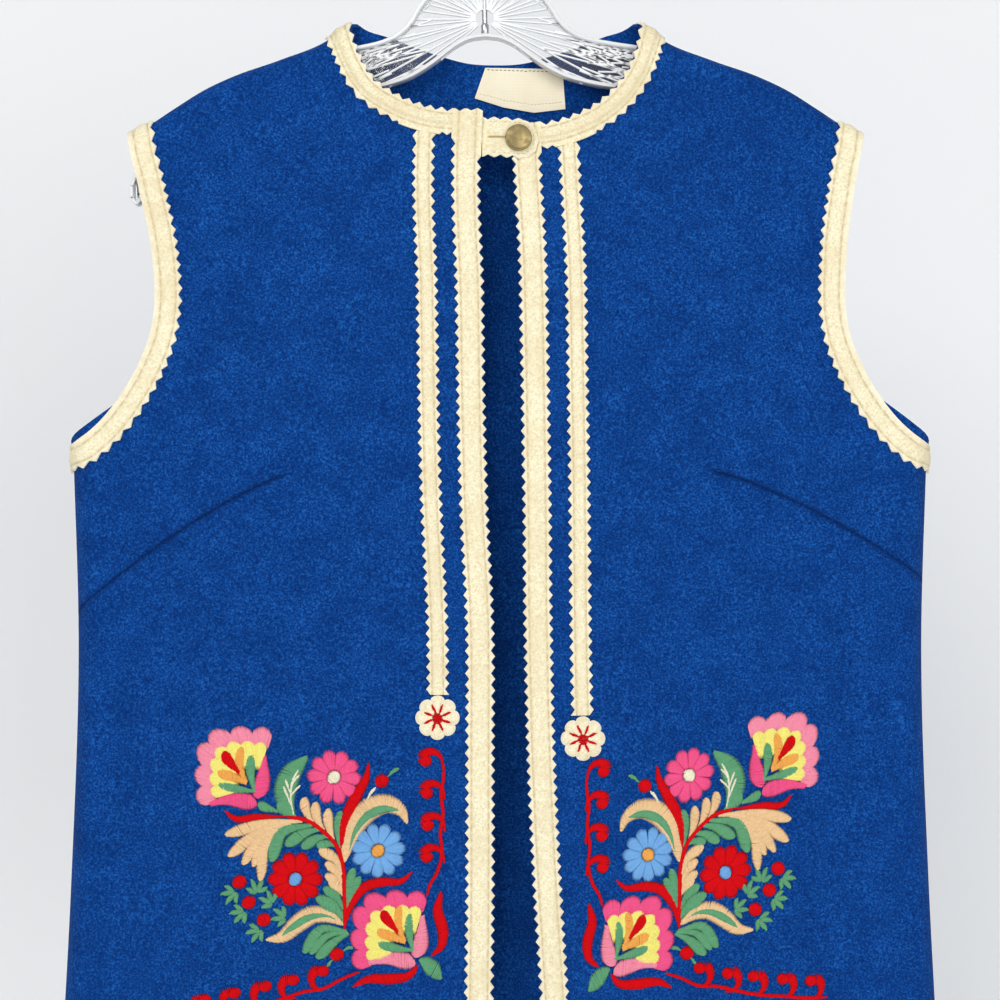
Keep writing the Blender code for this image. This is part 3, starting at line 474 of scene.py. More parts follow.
    def points(self, face: Face, across: Numbers, height: Numbers, out: Numbers) -> Numbers:
        """Lay flat points on the sheet and step out from its middle."""
        middle, normal = self.lay(face, across, height)
        return middle + normal * np.asarray(out, float)[..., None]

    def flat_height(self, across: Numbers, seen: Numbers) -> Numbers:
        """Flat height of points that are seen at the given heights."""
        seam = self.shoulder_line(across)
        drop = np.maximum(seam - self.roll_allowance(self.shoulder_roll) - seen, 0)
        angle = np.arccos(1 - np.minimum(drop / self.shoulder_roll, 1))
        return seam - self.shoulder_roll * angle - np.maximum(drop - self.shoulder_roll, 0)

    def smooth_line(self, across: Numbers, seen: Numbers, count: int = 160) -> Numbers:
        """Run an even, smooth line of flat points through the rows of a table.

        Args:
            across: Distances across.
            seen: Heights at which the rows are seen.
            count: How many points the line has.

        Returns:
            The flat points, one in each row.
        """
        height = self.flat_height(across, seen)
        steps = np.hypot(np.diff(across), np.diff(height))
        length = np.concatenate([[0], np.cumsum(steps)])
        return glide_through(length, paired(across, height), count)


CLOTH = HangingCloth()


# ---------------------------------------------------------------------- flat paths


@dataclass
class FlatPath:
    """A line on the flat pattern, with its faces and the way into the cloth."""

    flat: Numbers
    face: Numbers
    square: Numbers
    crossing: Numbers
    phase: Numbers | None = None

    SEAM_HOLD = 9.0
    SEAM_BLEND = 20.0
    END_BLEND = 10.0
    ROLL_REACH = 14.0

    @classmethod
    def drawn(cls, face: Face, flat: Numbers, hole: Sequence[float]) -> FlatPath:
        """Make a path whose crossing lines point away from a hole.

        Args:
            face: The sheet that the line is on.
            flat: The flat points.
            hole: A flat point on the side that has no cloth.

        Returns:
            The path.
        """
        tangent = unit(np.gradient(flat, axis=0))
        square = paired(tangent[:, 1], -tangent[:, 0])
        square = square * np.sign(np.sum(square * (flat - np.array(hole)), axis=1, keepdims=True))
        return cls(flat, np.full(len(flat), face.value), square, square.copy())

    def turn(self, direction: Numbers | Sequence[float], weight: Numbers) -> None:
        """Slant the crossing lines by a weight, keeping their square width."""
        direction = unit(np.asarray(direction, float))
        direction = direction * np.sign(np.sum(direction * self.square, axis=1, keepdims=True))
        turned = weight[:, None] * direction + (1 - weight[:, None]) * self.crossing
        self.crossing = turned / np.sum(turned * self.square, axis=1, keepdims=True)

    def turn_at_shoulder(self) -> None:
        """Slant the crossing lines along the shoulder seam where the path meets it."""
        across = self.flat[:, 0]
        slope = CLOTH.shoulder_line(across + 0.5) - CLOTH.shoulder_line(across - 0.5)
        drop = CLOTH.shoulder_line(across) - self.flat[:, 1]
        self.turn(paired(np.ones(len(across)), slope),
                  1 - smooth_step((drop - self.SEAM_HOLD) / self.SEAM_BLEND))

    def turn_at_end(self, direction: Sequence[float], reach: float, last: bool = True) -> None:
        """Slant the crossing lines to a direction near the last or the first point."""
        away = np.linalg.norm(self.flat - self.flat[-1 if last else 0], axis=1)
        self.turn(direction, 1 - smooth_step(away / reach))

    def backwards(self) -> FlatPath:
        """The same path run the other way."""
        return FlatPath(self.flat[::-1], self.face[::-1], self.square[::-1], self.crossing[::-1])

    def joined(self, other: FlatPath) -> FlatPath:
        """This path carried on along another."""
        names = ("flat", "face", "square", "crossing")
        return FlatPath(*(np.concatenate([getattr(self, n), getattr(other, n)]) for n in names))

    def stepped(self, inside: Numbers | float) -> Numbers:
        """Flat points moved into the cloth along the crossing lines."""
        inside = np.asarray(inside, float)
        return self.flat + self.crossing * (inside[:, None] if inside.ndim else inside)

    def rolled(self) -> Numbers:
        """Tell, from 0 to 1, where the line goes over a rolled edge of the cloth."""
        drop = CLOTH.shoulder_line(self.flat[:, 0]) - self.flat[:, 1]
        inset = CLOTH.side_line(self.flat[:, 1]) - np.abs(self.flat[:, 0])
        return 1 - smooth_step((np.minimum(drop, inset) - self.ROLL_REACH) / self.ROLL_REACH)

    def lay(self, flat: Numbers) -> tuple[Numbers, Numbers]:
        """Lay one flat point for each station, each on its own face."""
        on_front = (self.face == Face.FRONT.value)[:, None]
        front, back = (CLOTH.lay(face, flat[..., 0], flat[..., 1]) for face in Face)
        return np.where(on_front, front[0], back[0]), np.where(on_front, front[1], back[1])

    def at_stations(self, spacing: float, parts: int) -> FlatPath:
        """Space the points evenly, with an even number of half teeth.

        Args:
            spacing: Length of half a tooth.
            parts: Points for each half tooth.

        Returns:
            The path with a phase at each point, in half teeth.
        """
        length = lengths(self.lay(self.flat)[0])
        whole = np.arange(len(length))
        count = max(2, 2 * round(length[-1] / spacing / 2)) * parts
        places = np.interp(np.linspace(0, length[-1], count + 1), length, whole)
        flat, square, crossing = (read_at(places, whole, rows)
                                  for rows in (self.flat, self.square, self.crossing))
        face = self.face[np.round(places).astype(int)]
        return FlatPath(flat, face, square, crossing, np.arange(count + 1) / parts)


class Outlines:
    """The edges of the pattern pieces as flat paths."""

    NECK_MIDDLE = (0.0, -100.0)
    ARMHOLE_MIDDLE = (240.0, -225.0)
    FAR_SIDE = 500.0
    UNDERARM_BLEND = 60.0
    LINE_POINTS = 160

    @classmethod
    def front_neck(cls, side: Side, reach: float) -> FlatPath:
        """Neckline of one front, from the shoulder to a distance from the front edge."""
        flat = CLOTH.smooth_line(side.value * NECK_ACROSS, NECK_FRONT[side])
        stop = np.abs(EDGE_ACROSS[side](flat[:, 1])) + reach
        path = FlatPath.drawn(Face.FRONT, flat[np.abs(flat[:, 0]) >= stop], cls.NECK_MIDDLE)
        path.turn_at_shoulder()
        path.turn_at_end((0.0, 1.0), FlatPath.END_BLEND)
        return path

    @classmethod
    def back_neck(cls) -> FlatPath:
        """Neckline of the back, from the left shoulder seam to the right one."""
        across = np.concatenate([-BACK_ACROSS[:0:-1], BACK_ACROSS])
        heights = np.concatenate([BACK_HEIGHT[:0:-1], BACK_HEIGHT])
        path = FlatPath.drawn(Face.BACK, CLOTH.smooth_line(across, heights)[1:-1], cls.NECK_MIDDLE)
        path.turn_at_shoulder()
        return path

    @classmethod
    def armhole(cls, face: Face, side: Side) -> FlatPath:
        """Edge of an armhole on one face, from the shoulder tip to the side seam."""
        flat = CLOTH.smooth_line(side.value * ARMHOLE_ACROSS, ARMHOLE_HEIGHT)
        inside = CLOTH.side_line(flat[:, 1]) - np.abs(flat[:, 0]) > CLOTH.gap / 2
        hole = (side.value * cls.ARMHOLE_MIDDLE[0], cls.ARMHOLE_MIDDLE[1])
        path = FlatPath.drawn(face, flat[inside], hole)
        path.turn_at_shoulder()
        path.turn_at_end((0.0, 1.0), cls.UNDERARM_BLEND)
        return path

    @classmethod
    def front_edge(cls, side: Side, top: float, bottom: float, offset: float = 0.0) -> FlatPath:
        """Line beside the opening of one front, from a height down to another."""
        heights = np.linspace(top, bottom, cls.LINE_POINTS)
        flat = paired(EDGE_ACROSS[side](heights) + side.value * offset, heights)
        return FlatPath.drawn(Face.FRONT, flat, (-side.value * cls.FAR_SIDE, bottom))


# --------------------------------------------------------------------------- meshes


class MeshBuilder:
    """Gathers grids and tubes of points in millimetres into one mesh."""

    def __init__(self) -> None:
        """Start with nothing."""
        self.points: list[Numbers] = []
        self.faces: list[Numbers] = []
        self.marks: list[Numbers] = []
        self.count = 0

    def add(self, points: Numbers, faces: Numbers, mark: Numbers | float = 0.0) -> None:
        """Add points and faces that index them.

        Args:
            points: Points in millimetres.
            faces: Four indices for each face.
            mark: A number for each point, for the material to read.
        """
        flat = points.reshape(-1, 3)
        self.points.append(flat)
        self.faces.append(self.outward(flat, faces.reshape(-1, 4)) + self.count)
        self.marks.append(np.broadcast_to(mark, points.shape[:-1]).reshape(-1))
        self.count += len(flat)

    @staticmethod
    def outward(points: Numbers, faces: Numbers) -> Numbers:
        """Turn the faces of one closed form over if they face in."""
        corners = points[faces]
        across = np.cross(corners[:, 2] - corners[:, 0], corners[:, 3] - corners[:, 1])
        centre = corners.mean(axis=1) - corners.mean(axis=(0, 1))
        return faces[:, ::-1] if np.sum(centre * across) < 0 else faces

    @staticmethod
    def grid_faces(rows: int, places: int, wrap: bool = False) -> Numbers:
        """Faces of a grid, wrapped along its second axis if asked."""
        index = np.arange(rows * places).reshape(rows, places)
        after = np.roll(index, -1, axis=1)
        near, far = (index, after) if wrap else (index[:, :-1], index[:, 1:])
        return np.stack([near[:-1], far[:-1], far[1:], near[1:]], axis=-1).reshape(-1, 4)

    def shell(self, outer: Numbers, inner: Numbers, mark: Numbers | float = 0.0) -> None:
        """Add a closed wall between an outer and an inner grid of points.

        Args:
            outer: Grid of points on the outer skin.
            inner: The matching grid on the inner skin.
            mark: A number for each point of one skin.
        """
        rows, places = outer.shape[:2]
        size = rows * places
        index = np.arange(size).reshape(rows, places)
        rim = np.concatenate([index[0], index[1:, -1], index[-1, -2::-1], index[-2:0:-1, 0]])
        after = np.roll(rim, -1)
        skin = self.grid_faces(rows, places)
        edge = np.stack([after, rim, rim + size, after + size], axis=-1)
        mark = np.broadcast_to(mark, (rows, places))
        self.add(np.stack([outer, inner]), np.concatenate([skin, skin[:, ::-1] + size, edge]),
                 np.stack([mark, mark]))

    def tubes(self, lines: Numbers, ups: Numbers, width: Numbers | float, rise: Numbers | float,
              sides: int = 4, mark: Numbers | float = 0.0) -> None:
        """Add many tubes at once, all with the same number of points.

        Args:
            lines: Centre lines, tube by point by coordinate.
            ups: Directions of the tubes' tops at the same points.
            width: Half width, as one number or one for each point.
            rise: Half height, likewise.
            sides: Corners of the section.
            mark: A number for each tube, each point of each tube, or for all.
        """
        tangent = unit(np.gradient(lines, axis=1))
        beside = unit(np.cross(tangent, ups))
        top = unit(np.cross(beside, tangent))
        angle = 2 * math.pi * np.arange(sides) / sides
        width, rise = (np.broadcast_to(size, lines.shape[:2])[..., None, None]
                       for size in (width, rise))
        ring = beside[:, :, None] * np.cos(angle)[:, None] * width
        ring = ring + top[:, :, None] * np.sin(angle)[:, None] * rise
        mark = np.asarray(mark, float)
        mark = mark.reshape(mark.shape + (1,) * (3 - mark.ndim)) if mark.ndim else mark
        self.rings(lines[:, :, None] + ring, mark)

    def stitches(self, knots: Sequence[tuple[Numbers, Numbers]], radius: float,
                 mark: Numbers | float = 0.0) -> None:
        """Add a row of short stitches, thin at both ends.

        Args:
            knots: The four knots along each stitch: places, and directions out of the cloth.
            radius: Half the thread's thickness.
            mark: A number for each stitch, or one for all.
        """
        lines, ups = (np.stack(rows, axis=1) for rows in zip(*knots))
        thin = np.array([[0.6, 1.0, 1.0, 0.6]]) * radius
        self.tubes(lines, ups, thin, thin, mark=mark)

    def rings(self, points: Numbers, mark: Numbers | float = 0.0) -> None:
        """Add closed forms that run through rings of points, capped at both ends.

        Args:
            points: Form by ring by place round it by coordinate, an even number round.
            mark: A number for each point, or one for all.
        """
        number, length, sides = points.shape[:3]
        step = np.arange(sides // 2 - 1)
        cap = np.stack([step, step + 1, sides - 2 - step, sides - 1 - step], axis=-1)
        faces = np.concatenate([self.grid_faces(length, sides, wrap=True), cap[:, ::-1],
                                cap + (length - 1) * sides])
        faces = faces[None] + np.arange(number)[:, None, None] * length * sides
        self.add(points, faces, mark)

    def build(self, name: str, finish: Finish, slot: str | None = None, node: str | None = None,
              sharp: float | None = None) -> bpy.types.Object:
        """Make the object, dress it and let it ride on the vest's body.

        Args:
            name: The piece's name.
            finish: What it is made of.
            slot: The record's material slot, if it has one; not used.
            node: The node that it stands for, if any.
            sharp: Turn of its faces, in degrees, past which an edge stays sharp.

        Returns:
            The piece.
        """
        points, faces = np.concatenate(self.points) * MM, np.concatenate(self.faces)
        mesh = bpy.data.meshes.new(name)
        mesh.vertices.add(len(points))
        mesh.vertices.foreach_set("co", points.astype(np.float32).ravel())
        mesh.loops.add(faces.size)
        mesh.loops.foreach_set("vertex_index", faces.astype(np.int32).ravel())
        mesh.polygons.add(len(faces))
        mesh.polygons.foreach_set("loop_start", np.arange(0, faces.size, 4, dtype=np.int32))
        mesh.update(calc_edges=True)
        mark = mesh.attributes.new("mark", "FLOAT", "POINT")
        mark.data.foreach_set("value", np.concatenate(self.marks).astype(np.float32))
        mesh.shade_smooth()
        mesh.materials.append(finish.material())
        piece = bpy.data.objects.new(name, mesh)
        bpy.context.scene.collection.objects.link(piece)
        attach(piece, BODY)
        if sharp is not None:
            mesh.set_sharp_from_angle(angle=math.radians(sharp))
        if node:
            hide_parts(node)
        LOG.info("%s: %d faces", name, len(faces))
        return piece


# ------------------------------------------------------------------------ materials

Socket = bpy.types.NodeSocket
Value = float | Sequence[float] | Socket


class Nodes:
    """Short calls that add nodes to a tree and join them."""

    def __init__(self, tree: bpy.types.NodeTree) -> None:
        """Keep the tree."""
        self.tree = tree

    def put(self, socket: Socket, value: Value) -> None:
        """Link a socket to an output, or set its constant, with full alpha for a colour."""
        if isinstance(value, bpy.types.NodeSocket):
            self.tree.links.new(value, socket)
        else:
            socket.default_value = (*value, 1.0) if socket.type == "RGBA" else value

    def add(self, kind: str, inputs: dict[str | int, Value] | None = None,
            **settings: object) -> bpy.types.Node:
        """Add a node.

        Args:
            kind: The node's type without "ShaderNode".
            inputs: Values of its inputs, by name or number.
            **settings: Values of its properties.

        Returns:
            The node.
        """
        node = self.tree.nodes.new(f"ShaderNode{kind}")
        for name, value in settings.items():
            setattr(node, name, value)
        for key, value in (inputs or {}).items():
            self.put(node.inputs[key], value)
        return node

    def math(self, operation: str, *values: Value, clamp: bool = False) -> Socket:
        """Do one sum on numbers."""
        inputs = dict(enumerate(values))
        return self.add("Math", inputs, operation=operation, use_clamp=clamp).outputs[0]

    def layered(self, colour: Value, *layers: tuple[Value, Value]) -> Socket:
        """Lay colours over a first one, each with its share."""
        for share, over in layers:
            node = self.add("Mix", data_type="RGBA", clamp_factor=True)
            for number, value in zip((0, 6, 7), (share, colour, over)):
                self.put(node.inputs[number], value)
            colour = node.outputs[2]
        return colour

    def ramp(self, value: Value, low: float, high: float, to_low: float = 0.0,
             to_high: float = 1.0) -> Socket:
        """Stretch a range of numbers smoothly to another."""
        inputs = dict(enumerate((value, low, high, to_low, to_high)))
        return self.add("MapRange", inputs, interpolation_type="SMOOTHSTEP").outputs[0]

    def noise(self, place: Socket, scale: float, detail: float = 2.0,
              roughness: float = 0.5) -> Socket:
        """Read soft noise at a place."""
        inputs = {"Vector": place, "Scale": scale, "Detail": detail, "Roughness": roughness}
        return self.add("TexNoise", inputs).outputs["Fac"]

    def stretched(self, place: Socket, turn: Sequence[float], scale: Sequence[float]) -> Socket:
        """Turn and stretch a place, for streaks."""
        inputs = {"Vector": place, "Rotation": turn, "Scale": scale}
        return self.add("Mapping", inputs, vector_type="POINT").outputs[0]

    def place(self) -> Socket:
        """The place on the piece, in metres."""
        return self.add("TexCoord").outputs["Object"]

    def mark(self) -> Socket:
        """The number that the mesh carries at each point."""
        return self.add("Attribute", attribute_name="mark").outputs["Fac"]

    def bump(self, height: Socket, distance: float, strength: float) -> Socket:
        """Turn a height into a normal."""
        inputs = {"Height": height, "Distance": distance, "Strength": strength}
        return self.add("Bump", inputs).outputs[0]


@dataclass(frozen=True)
class Effect:
    """A node group that several finishes share."""

    name: str
    outputs: tuple[str, ...]
    fill: Callable[[Nodes, Socket], tuple[Socket, ...]]

    def tree(self) -> bpy.types.NodeTree:
        """Return the group's tree, made once."""
        tree = bpy.data.node_groups.get(self.name)
        if tree:
            return tree
        tree = bpy.data.node_groups.new(self.name, "ShaderNodeTree")
        tree.interface.new_socket("Place", in_out="INPUT", socket_type="NodeSocketVector")
        for name in self.outputs:
            tree.interface.new_socket(name, in_out="OUTPUT", socket_type="NodeSocketFloat")
        entry, leave = tree.nodes.new("NodeGroupInput"), tree.nodes.new("NodeGroupOutput")
        for name, socket in zip(self.outputs, self.fill(Nodes(tree), entry.outputs[0])):
            tree.links.new(socket, leave.inputs[name])
        return tree

    def use(self, nodes: Nodes) -> list[Socket]:
        """Put the group in a material and return its outputs."""
        node = nodes.tree.nodes.new("ShaderNodeGroup")
        node.node_tree = self.tree()
        nodes.put(node.inputs[0], nodes.place())
        return [node.outputs[name] for name in self.outputs]


def fill_nap(nodes: Nodes, place: Socket) -> tuple[Socket, ...]:
    """Matted wool: lumps about a millimetre wide under a web of crossing fibres."""
    bend = nodes.add("TexNoise", {"Vector": place, "Scale": 420.0, "Detail": 1.0}).outputs["Color"]
    shift = nodes.add("VectorMath", {0: bend, "Scale": 0.0016}, operation="SCALE").outputs[0]
    bent = nodes.add("VectorMath", {0: place, 1: shift}, operation="ADD").outputs[0]
    lumps = nodes.noise(place, 860.0, 4.0, 0.66)
    webs = []
    for angle in (0.4, 1.5, 2.6):
        streaks = nodes.stretched(bent, (0.0, angle, 0.3 * angle), (620.0, 3300.0, 3300.0))
        webs.append(nodes.ramp(nodes.noise(streaks, 1.0, 1.0, 0.5), 0.50, 0.78))
    fibres = nodes.math("MAXIMUM", nodes.math("MAXIMUM", webs[0], webs[1]), webs[2])
    mottle = nodes.math("ADD", nodes.math("MULTIPLY", nodes.noise(place, 55.0, 3.0), 0.5),
                        nodes.math("MULTIPLY", nodes.noise(place, 380.0, 3.0, 0.6), 0.5))
    return lumps, fibres, mottle, nodes.math("MULTIPLY_ADD", fibres, 0.35, lumps)


def fill_twist(nodes: Nodes, place: Socket) -> tuple[Socket, ...]:
    """Soft spun thread: short plies and a little fuzz."""
    plies = nodes.noise(nodes.stretched(place, (0.0, 0.6, 0.0), (1.0, 1.0, 1.7)), 1500.0, 2.0, 0.6)
    fuzz = nodes.noise(place, 5200.0, 1.0, 0.5)
    return plies, nodes.math("MULTIPLY_ADD", fuzz, 0.4, plies)


def fill_wear(nodes: Nodes, place: Socket) -> tuple[Socket, ...]:
    """Faint uneven handling marks: broad clouds and fine scratches."""
    clouds = nodes.noise(place, 38.0, 3.0, 0.6)
    lines = nodes.stretched(place, (0.2, 0.9, 0.5), (90.0, 4200.0, 4200.0))
    return clouds, nodes.ramp(nodes.noise(lines, 1.0, 2.0, 0.6), 0.60, 0.80)


NAP = Effect("wool_nap", ("Lumps", "Fibres", "Mottle", "Height"), fill_nap)
TWIST = Effect("thread_twist", ("Plies", "Height"), fill_twist)
WEAR = Effect("soft_wear", ("Clouds", "Scratches"), fill_wear)


def scaled(colour: Colour, *shares: float) -> Colour:
    """Scale a colour by one share, or each channel by its own."""
    shares = shares if len(shares) > 1 else shares * 3
    return tuple(channel * share for channel, share in zip(colour, shares))


class Finish:
    """A material that is made once, when it is first asked for."""

    name: str

    def looks(self, nodes: Nodes) -> dict[str, Value]:
        """Add the finish's nodes and return what they feed in the principled shader."""
        raise NotImplementedError

    def material(self) -> bpy.types.Material:
        """Return the material."""
        found = bpy.data.materials.get(self.name)
        if found:
            return found
        made = bpy.data.materials.new(self.name)
        made.use_nodes = True
        nodes = Nodes(made.node_tree)
        for name, value in self.looks(nodes).items():
            nodes.put(nodes.tree.nodes["Principled BSDF"].inputs[name], value)
        return made


@dataclass(frozen=True)
class WoolFinish(Finish):
    """Deep blue fulled wool with a short matted nap."""

    name: str = "finish_blue_wool"
    base: Colour = (0.0026, 0.049, 0.268)
    dark: Colour = (0.0006, 0.018, 0.126)
    light: Colour = (0.016, 0.140, 0.500)
    # seam: painted shade laid along the darts' grooves
    seam: Colour = (0.0006, 0.013, 0.080)
    sheen: Colour = (0.20, 0.42, 0.85)
    nap_height: float = 0.00042

    def looks(self, nodes: Nodes) -> dict[str, Value]:
        """Join lumps, fibres and mottling, with painted shade along the darts' grooves, where the
        mark is set.
        """
        lumps, fibres, mottle, height = NAP.use(nodes)
        colour = nodes.layered(
            self.dark, (nodes.ramp(lumps, 0.34, 0.56), self.base),
            (nodes.math("MULTIPLY", nodes.ramp(lumps, 0.50, 0.68), 0.95), self.light),
            (nodes.math("MULTIPLY", fibres, 0.38), self.light),
            (nodes.ramp(mottle, 0.38, 0.62, 0.0, 0.42), self.dark), (nodes.mark(), self.seam))
        return {"Base Color": colour, "Roughness": nodes.ramp(lumps, 0.2, 0.8, 0.97, 0.86),
                "Normal": nodes.bump(height, self.nap_height, 0.9), "Sheen Weight": 0.08,
                "Sheen Roughness": 0.45, "Sheen Tint": self.sheen, "Specular IOR Level": 0.06}


@dataclass(frozen=True)
class FeltFinish(Finish):
    """Thick cream wool felt, whiter and hairier where it is cut."""

    name: str = "finish_cream_felt"
    base: Colour = (0.965, 0.905, 0.655)
    shade: Colour = (0.770, 0.635, 0.375)
    cut: Colour = (0.950, 0.885, 0.690)
    # painted shade for the stitch troughs, one side of the neck band's ridge and the buttonhole
    # slit
    deep: Colour = (0.520, 0.380, 0.190)
    nap_height: float = 0.00030

    def looks(self, nodes: Nodes) -> dict[str, Value]:
        """Join the nap; the mark tells how near the cut edge is, and below zero it paints shade."""
        lumps, fibres, mottle, height = NAP.use(nodes)
        edge = nodes.math("ADD", nodes.mark(), nodes.math("MULTIPLY", fibres, 0.30))
        colour = nodes.layered(
            self.shade, (nodes.ramp(lumps, 0.30, 0.58), self.base),
            (nodes.math("MINIMUM", edge, 1.0), self.cut),
            (nodes.math("MULTIPLY", nodes.mark(), -1.0, clamp=True), self.deep),
            (nodes.ramp(mottle, 0.40, 0.64, 0.0, 0.50), self.shade))
        return {"Base Color": colour, "Roughness": nodes.ramp(lumps, 0.2, 0.8, 0.95, 0.84),
                "Normal": nodes.bump(height, self.nap_height, 0.8), "Sheen Weight": 0.12,
                "Sheen Roughness": 0.5, "Specular IOR Level": 0.2}


@dataclass(frozen=True)
class YarnFinish(Finish):
    """Loosely spun yarn of one colour; the mark gives each thread its own tone."""

    yarn: Colour
    name: str
    shadow: float = 0.76
    # share of the yarn's colour kept as painted shade where a stitch dives into the cloth
    deep: float = 0.36
    height: float = 0.00009

    def looks(self, nodes: Nodes) -> dict[str, Value]:
        """Join the plies and the threads' tones, with painted shade where a stitch dives into the
        cloth.
        """
        plies, height = TWIST.use(nodes)
        high = tuple(min(channel * 1.12 + 0.002, 1.0) for channel in self.yarn)
        tone = nodes.math("ADD", nodes.ramp(plies, 0.28, 0.66), nodes.mark())
        dive_shade = nodes.ramp(nodes.mark(), -1.3, -0.35, 0.85, 0.0)
        colour = nodes.layered(scaled(self.yarn, self.shadow),
                               (nodes.math("MULTIPLY", tone, 0.62), high),
                               (dive_shade, scaled(self.yarn, self.deep)))
        return {"Base Color": colour, "Roughness": nodes.ramp(plies, 0.2, 0.8, 0.86, 0.66),
                "Normal": nodes.bump(height, self.height, 0.7), "Sheen Weight": 0.03,
                "Sheen Roughness": 0.4, "Specular IOR Level": 0.10}


@dataclass(frozen=True)
class BrassFinish(Finish):
    """Old flat brass, tarnished in clouds and rubbed bright in places."""

    name: str = "finish_old_brass"
    metal: Colour = (0.310, 0.242, 0.108)
    tarnish: Colour = (0.225, 0.175, 0.080)

    def looks(self, nodes: Nodes) -> dict[str, Value]:
        """Join tarnish clouds and scratches."""
        spots = nodes.ramp(nodes.noise(nodes.place(), 260.0, 4.0, 0.6), 0.36, 0.62)
        share = nodes.math("MAXIMUM", spots, WEAR.use(nodes)[1])
        return {"Base Color": nodes.layered(self.tarnish, (share, self.metal)),
                "Roughness": nodes.ramp(share, 0.0, 1.0, 0.50, 0.36),
                "Normal": nodes.bump(share, 0.00002, 0.4), "Metallic": 0.9}


@dataclass(frozen=True)
class CottonFinish(Finish):
    """Plain woven cotton tape."""

    name: str = "finish_label_cotton"
    base: Colour = (0.965, 0.895, 0.700)
    # gap: painted shade between the woven threads
    gap: Colour = (0.840, 0.745, 0.540)
    threads: float = 2400.0

    def looks(self, nodes: Nodes) -> dict[str, Value]:
        """Join warp and weft bands, with painted shade in the gaps between the threads."""
        inputs = {"Vector": nodes.place(), "Scale": self.threads / 6.283, "Distortion": 0.6}
        bands = [nodes.add("TexWave", inputs, bands_direction=direction).outputs["Fac"]
                 for direction in ("X", "Z")]
        weave = nodes.math("MULTIPLY", *bands)
        cloud = nodes.ramp(nodes.noise(nodes.place(), 90.0, 3.0), 0.3, 0.7, -0.15, 0.15)
        share = nodes.math("ADD", nodes.ramp(weave, 0.05, 0.6, 0.35, 0.9), cloud)
        return {"Base Color": nodes.layered(self.gap, (share, self.base)),
                "Roughness": nodes.ramp(weave, 0.0, 1.0, 0.92, 0.8),
                "Normal": nodes.bump(weave, 0.00004, 0.5), "Sheen Weight": 0.05}


@dataclass(frozen=True)
class PlasticFinish(Finish):
    """Clear moulded plastic; the clearness tells how much light goes straight through."""

    name: str = "finish_clear_plastic"
    tint: Colour = (0.985, 0.992, 1.0)
    clearness: float = 0.98
    smoothness: float = 0.03

    def looks(self, nodes: Nodes) -> dict[str, Value]:
        """Join flow lines and handling marks."""
        clouds, scratches = WEAR.use(nodes)
        rough = nodes.ramp(clouds, 0.3, 0.7, self.smoothness, self.smoothness + 0.10)
        return {"Base Color": nodes.layered(self.tint, (clouds, scaled(self.tint, 0.97))),
                "Roughness": nodes.math("MULTIPLY_ADD", scratches, 0.12, rough),
                "Normal": nodes.bump(clouds, 0.0006, 0.35),
                "Transmission Weight": self.clearness, "IOR": 1.49}


@dataclass(frozen=True)
class SteelFinish(Finish):
    """Plated steel wire with drawing lines along it."""

    name: str = "finish_plated_steel"
    metal: Colour = (0.66, 0.66, 0.67)
    dull: Colour = (0.40, 0.40, 0.41)

    def looks(self, nodes: Nodes) -> dict[str, Value]:
        """Join wear clouds and fine scratches."""
        clouds, scratches = WEAR.use(nodes)
        share = nodes.ramp(clouds, 0.3, 0.7)
        rough = nodes.ramp(share, 0, 1, 0.34, 0.22)
        return {"Base Color": nodes.layered(self.dull, (share, self.metal)),
                "Roughness": nodes.math("MULTIPLY_ADD", scratches, 0.15, rough),
                "Metallic": 1.0, "Normal": nodes.bump(scratches, 0.00003, 0.5)}


@dataclass(frozen=True)
class StageFinish(Finish):
    """Pale matt plaster or floor, with its back faces left out of sight."""

    name: str = "finish_stage"
    tone: float = 0.90

    def looks(self, nodes: Nodes) -> dict[str, Value]:
        """Join a faint unevenness, and let rays through from behind."""
        tone = (self.tone,) * 3
        cloud = nodes.noise(nodes.place(), 3.0, 3.0)
        grain = nodes.noise(nodes.place(), 900.0, 3.0)
        mixed = nodes.add("MixShader", {
            0: nodes.add("NewGeometry").outputs["Backfacing"],
            1: nodes.tree.nodes["Principled BSDF"].outputs[0],
            2: nodes.add("BsdfTransparent").outputs[0]})
        nodes.put(nodes.tree.nodes["Material Output"].inputs["Surface"], mixed.outputs[0])
        colour = nodes.layered(scaled(tone, 0.985, 0.99, 0.993),
                               (cloud, scaled(tone, 1.0, 1.004, 1.006)))
        return {"Base Color": colour, "Roughness": 0.9,
                "Normal": nodes.bump(grain, 0.0001, 0.25), "Specular IOR Level": 0.1}


WOOL = WoolFinish()
FELT = FeltFinish()
BRASS = BrassFinish()
COTTON = CottonFinish()
CLEAR = PlasticFinish()
MILKY = PlasticFinish("finish_milky_plastic", (0.975, 0.985, 0.99), 0.22, 0.20)
FROSTED = PlasticFinish("finish_frosted_ribs", (0.985, 0.992, 1.0), 0.10, 0.30)
STEEL = SteelFinish()
THREAD = YarnFinish((0.860, 0.740, 0.480), "finish_cream_thread", 0.62)
DARK_THREAD = YarnFinish((0.030, 0.045, 0.110), "finish_dark_thread", 0.6)


# --------------------------------------------------------------------- wool panels


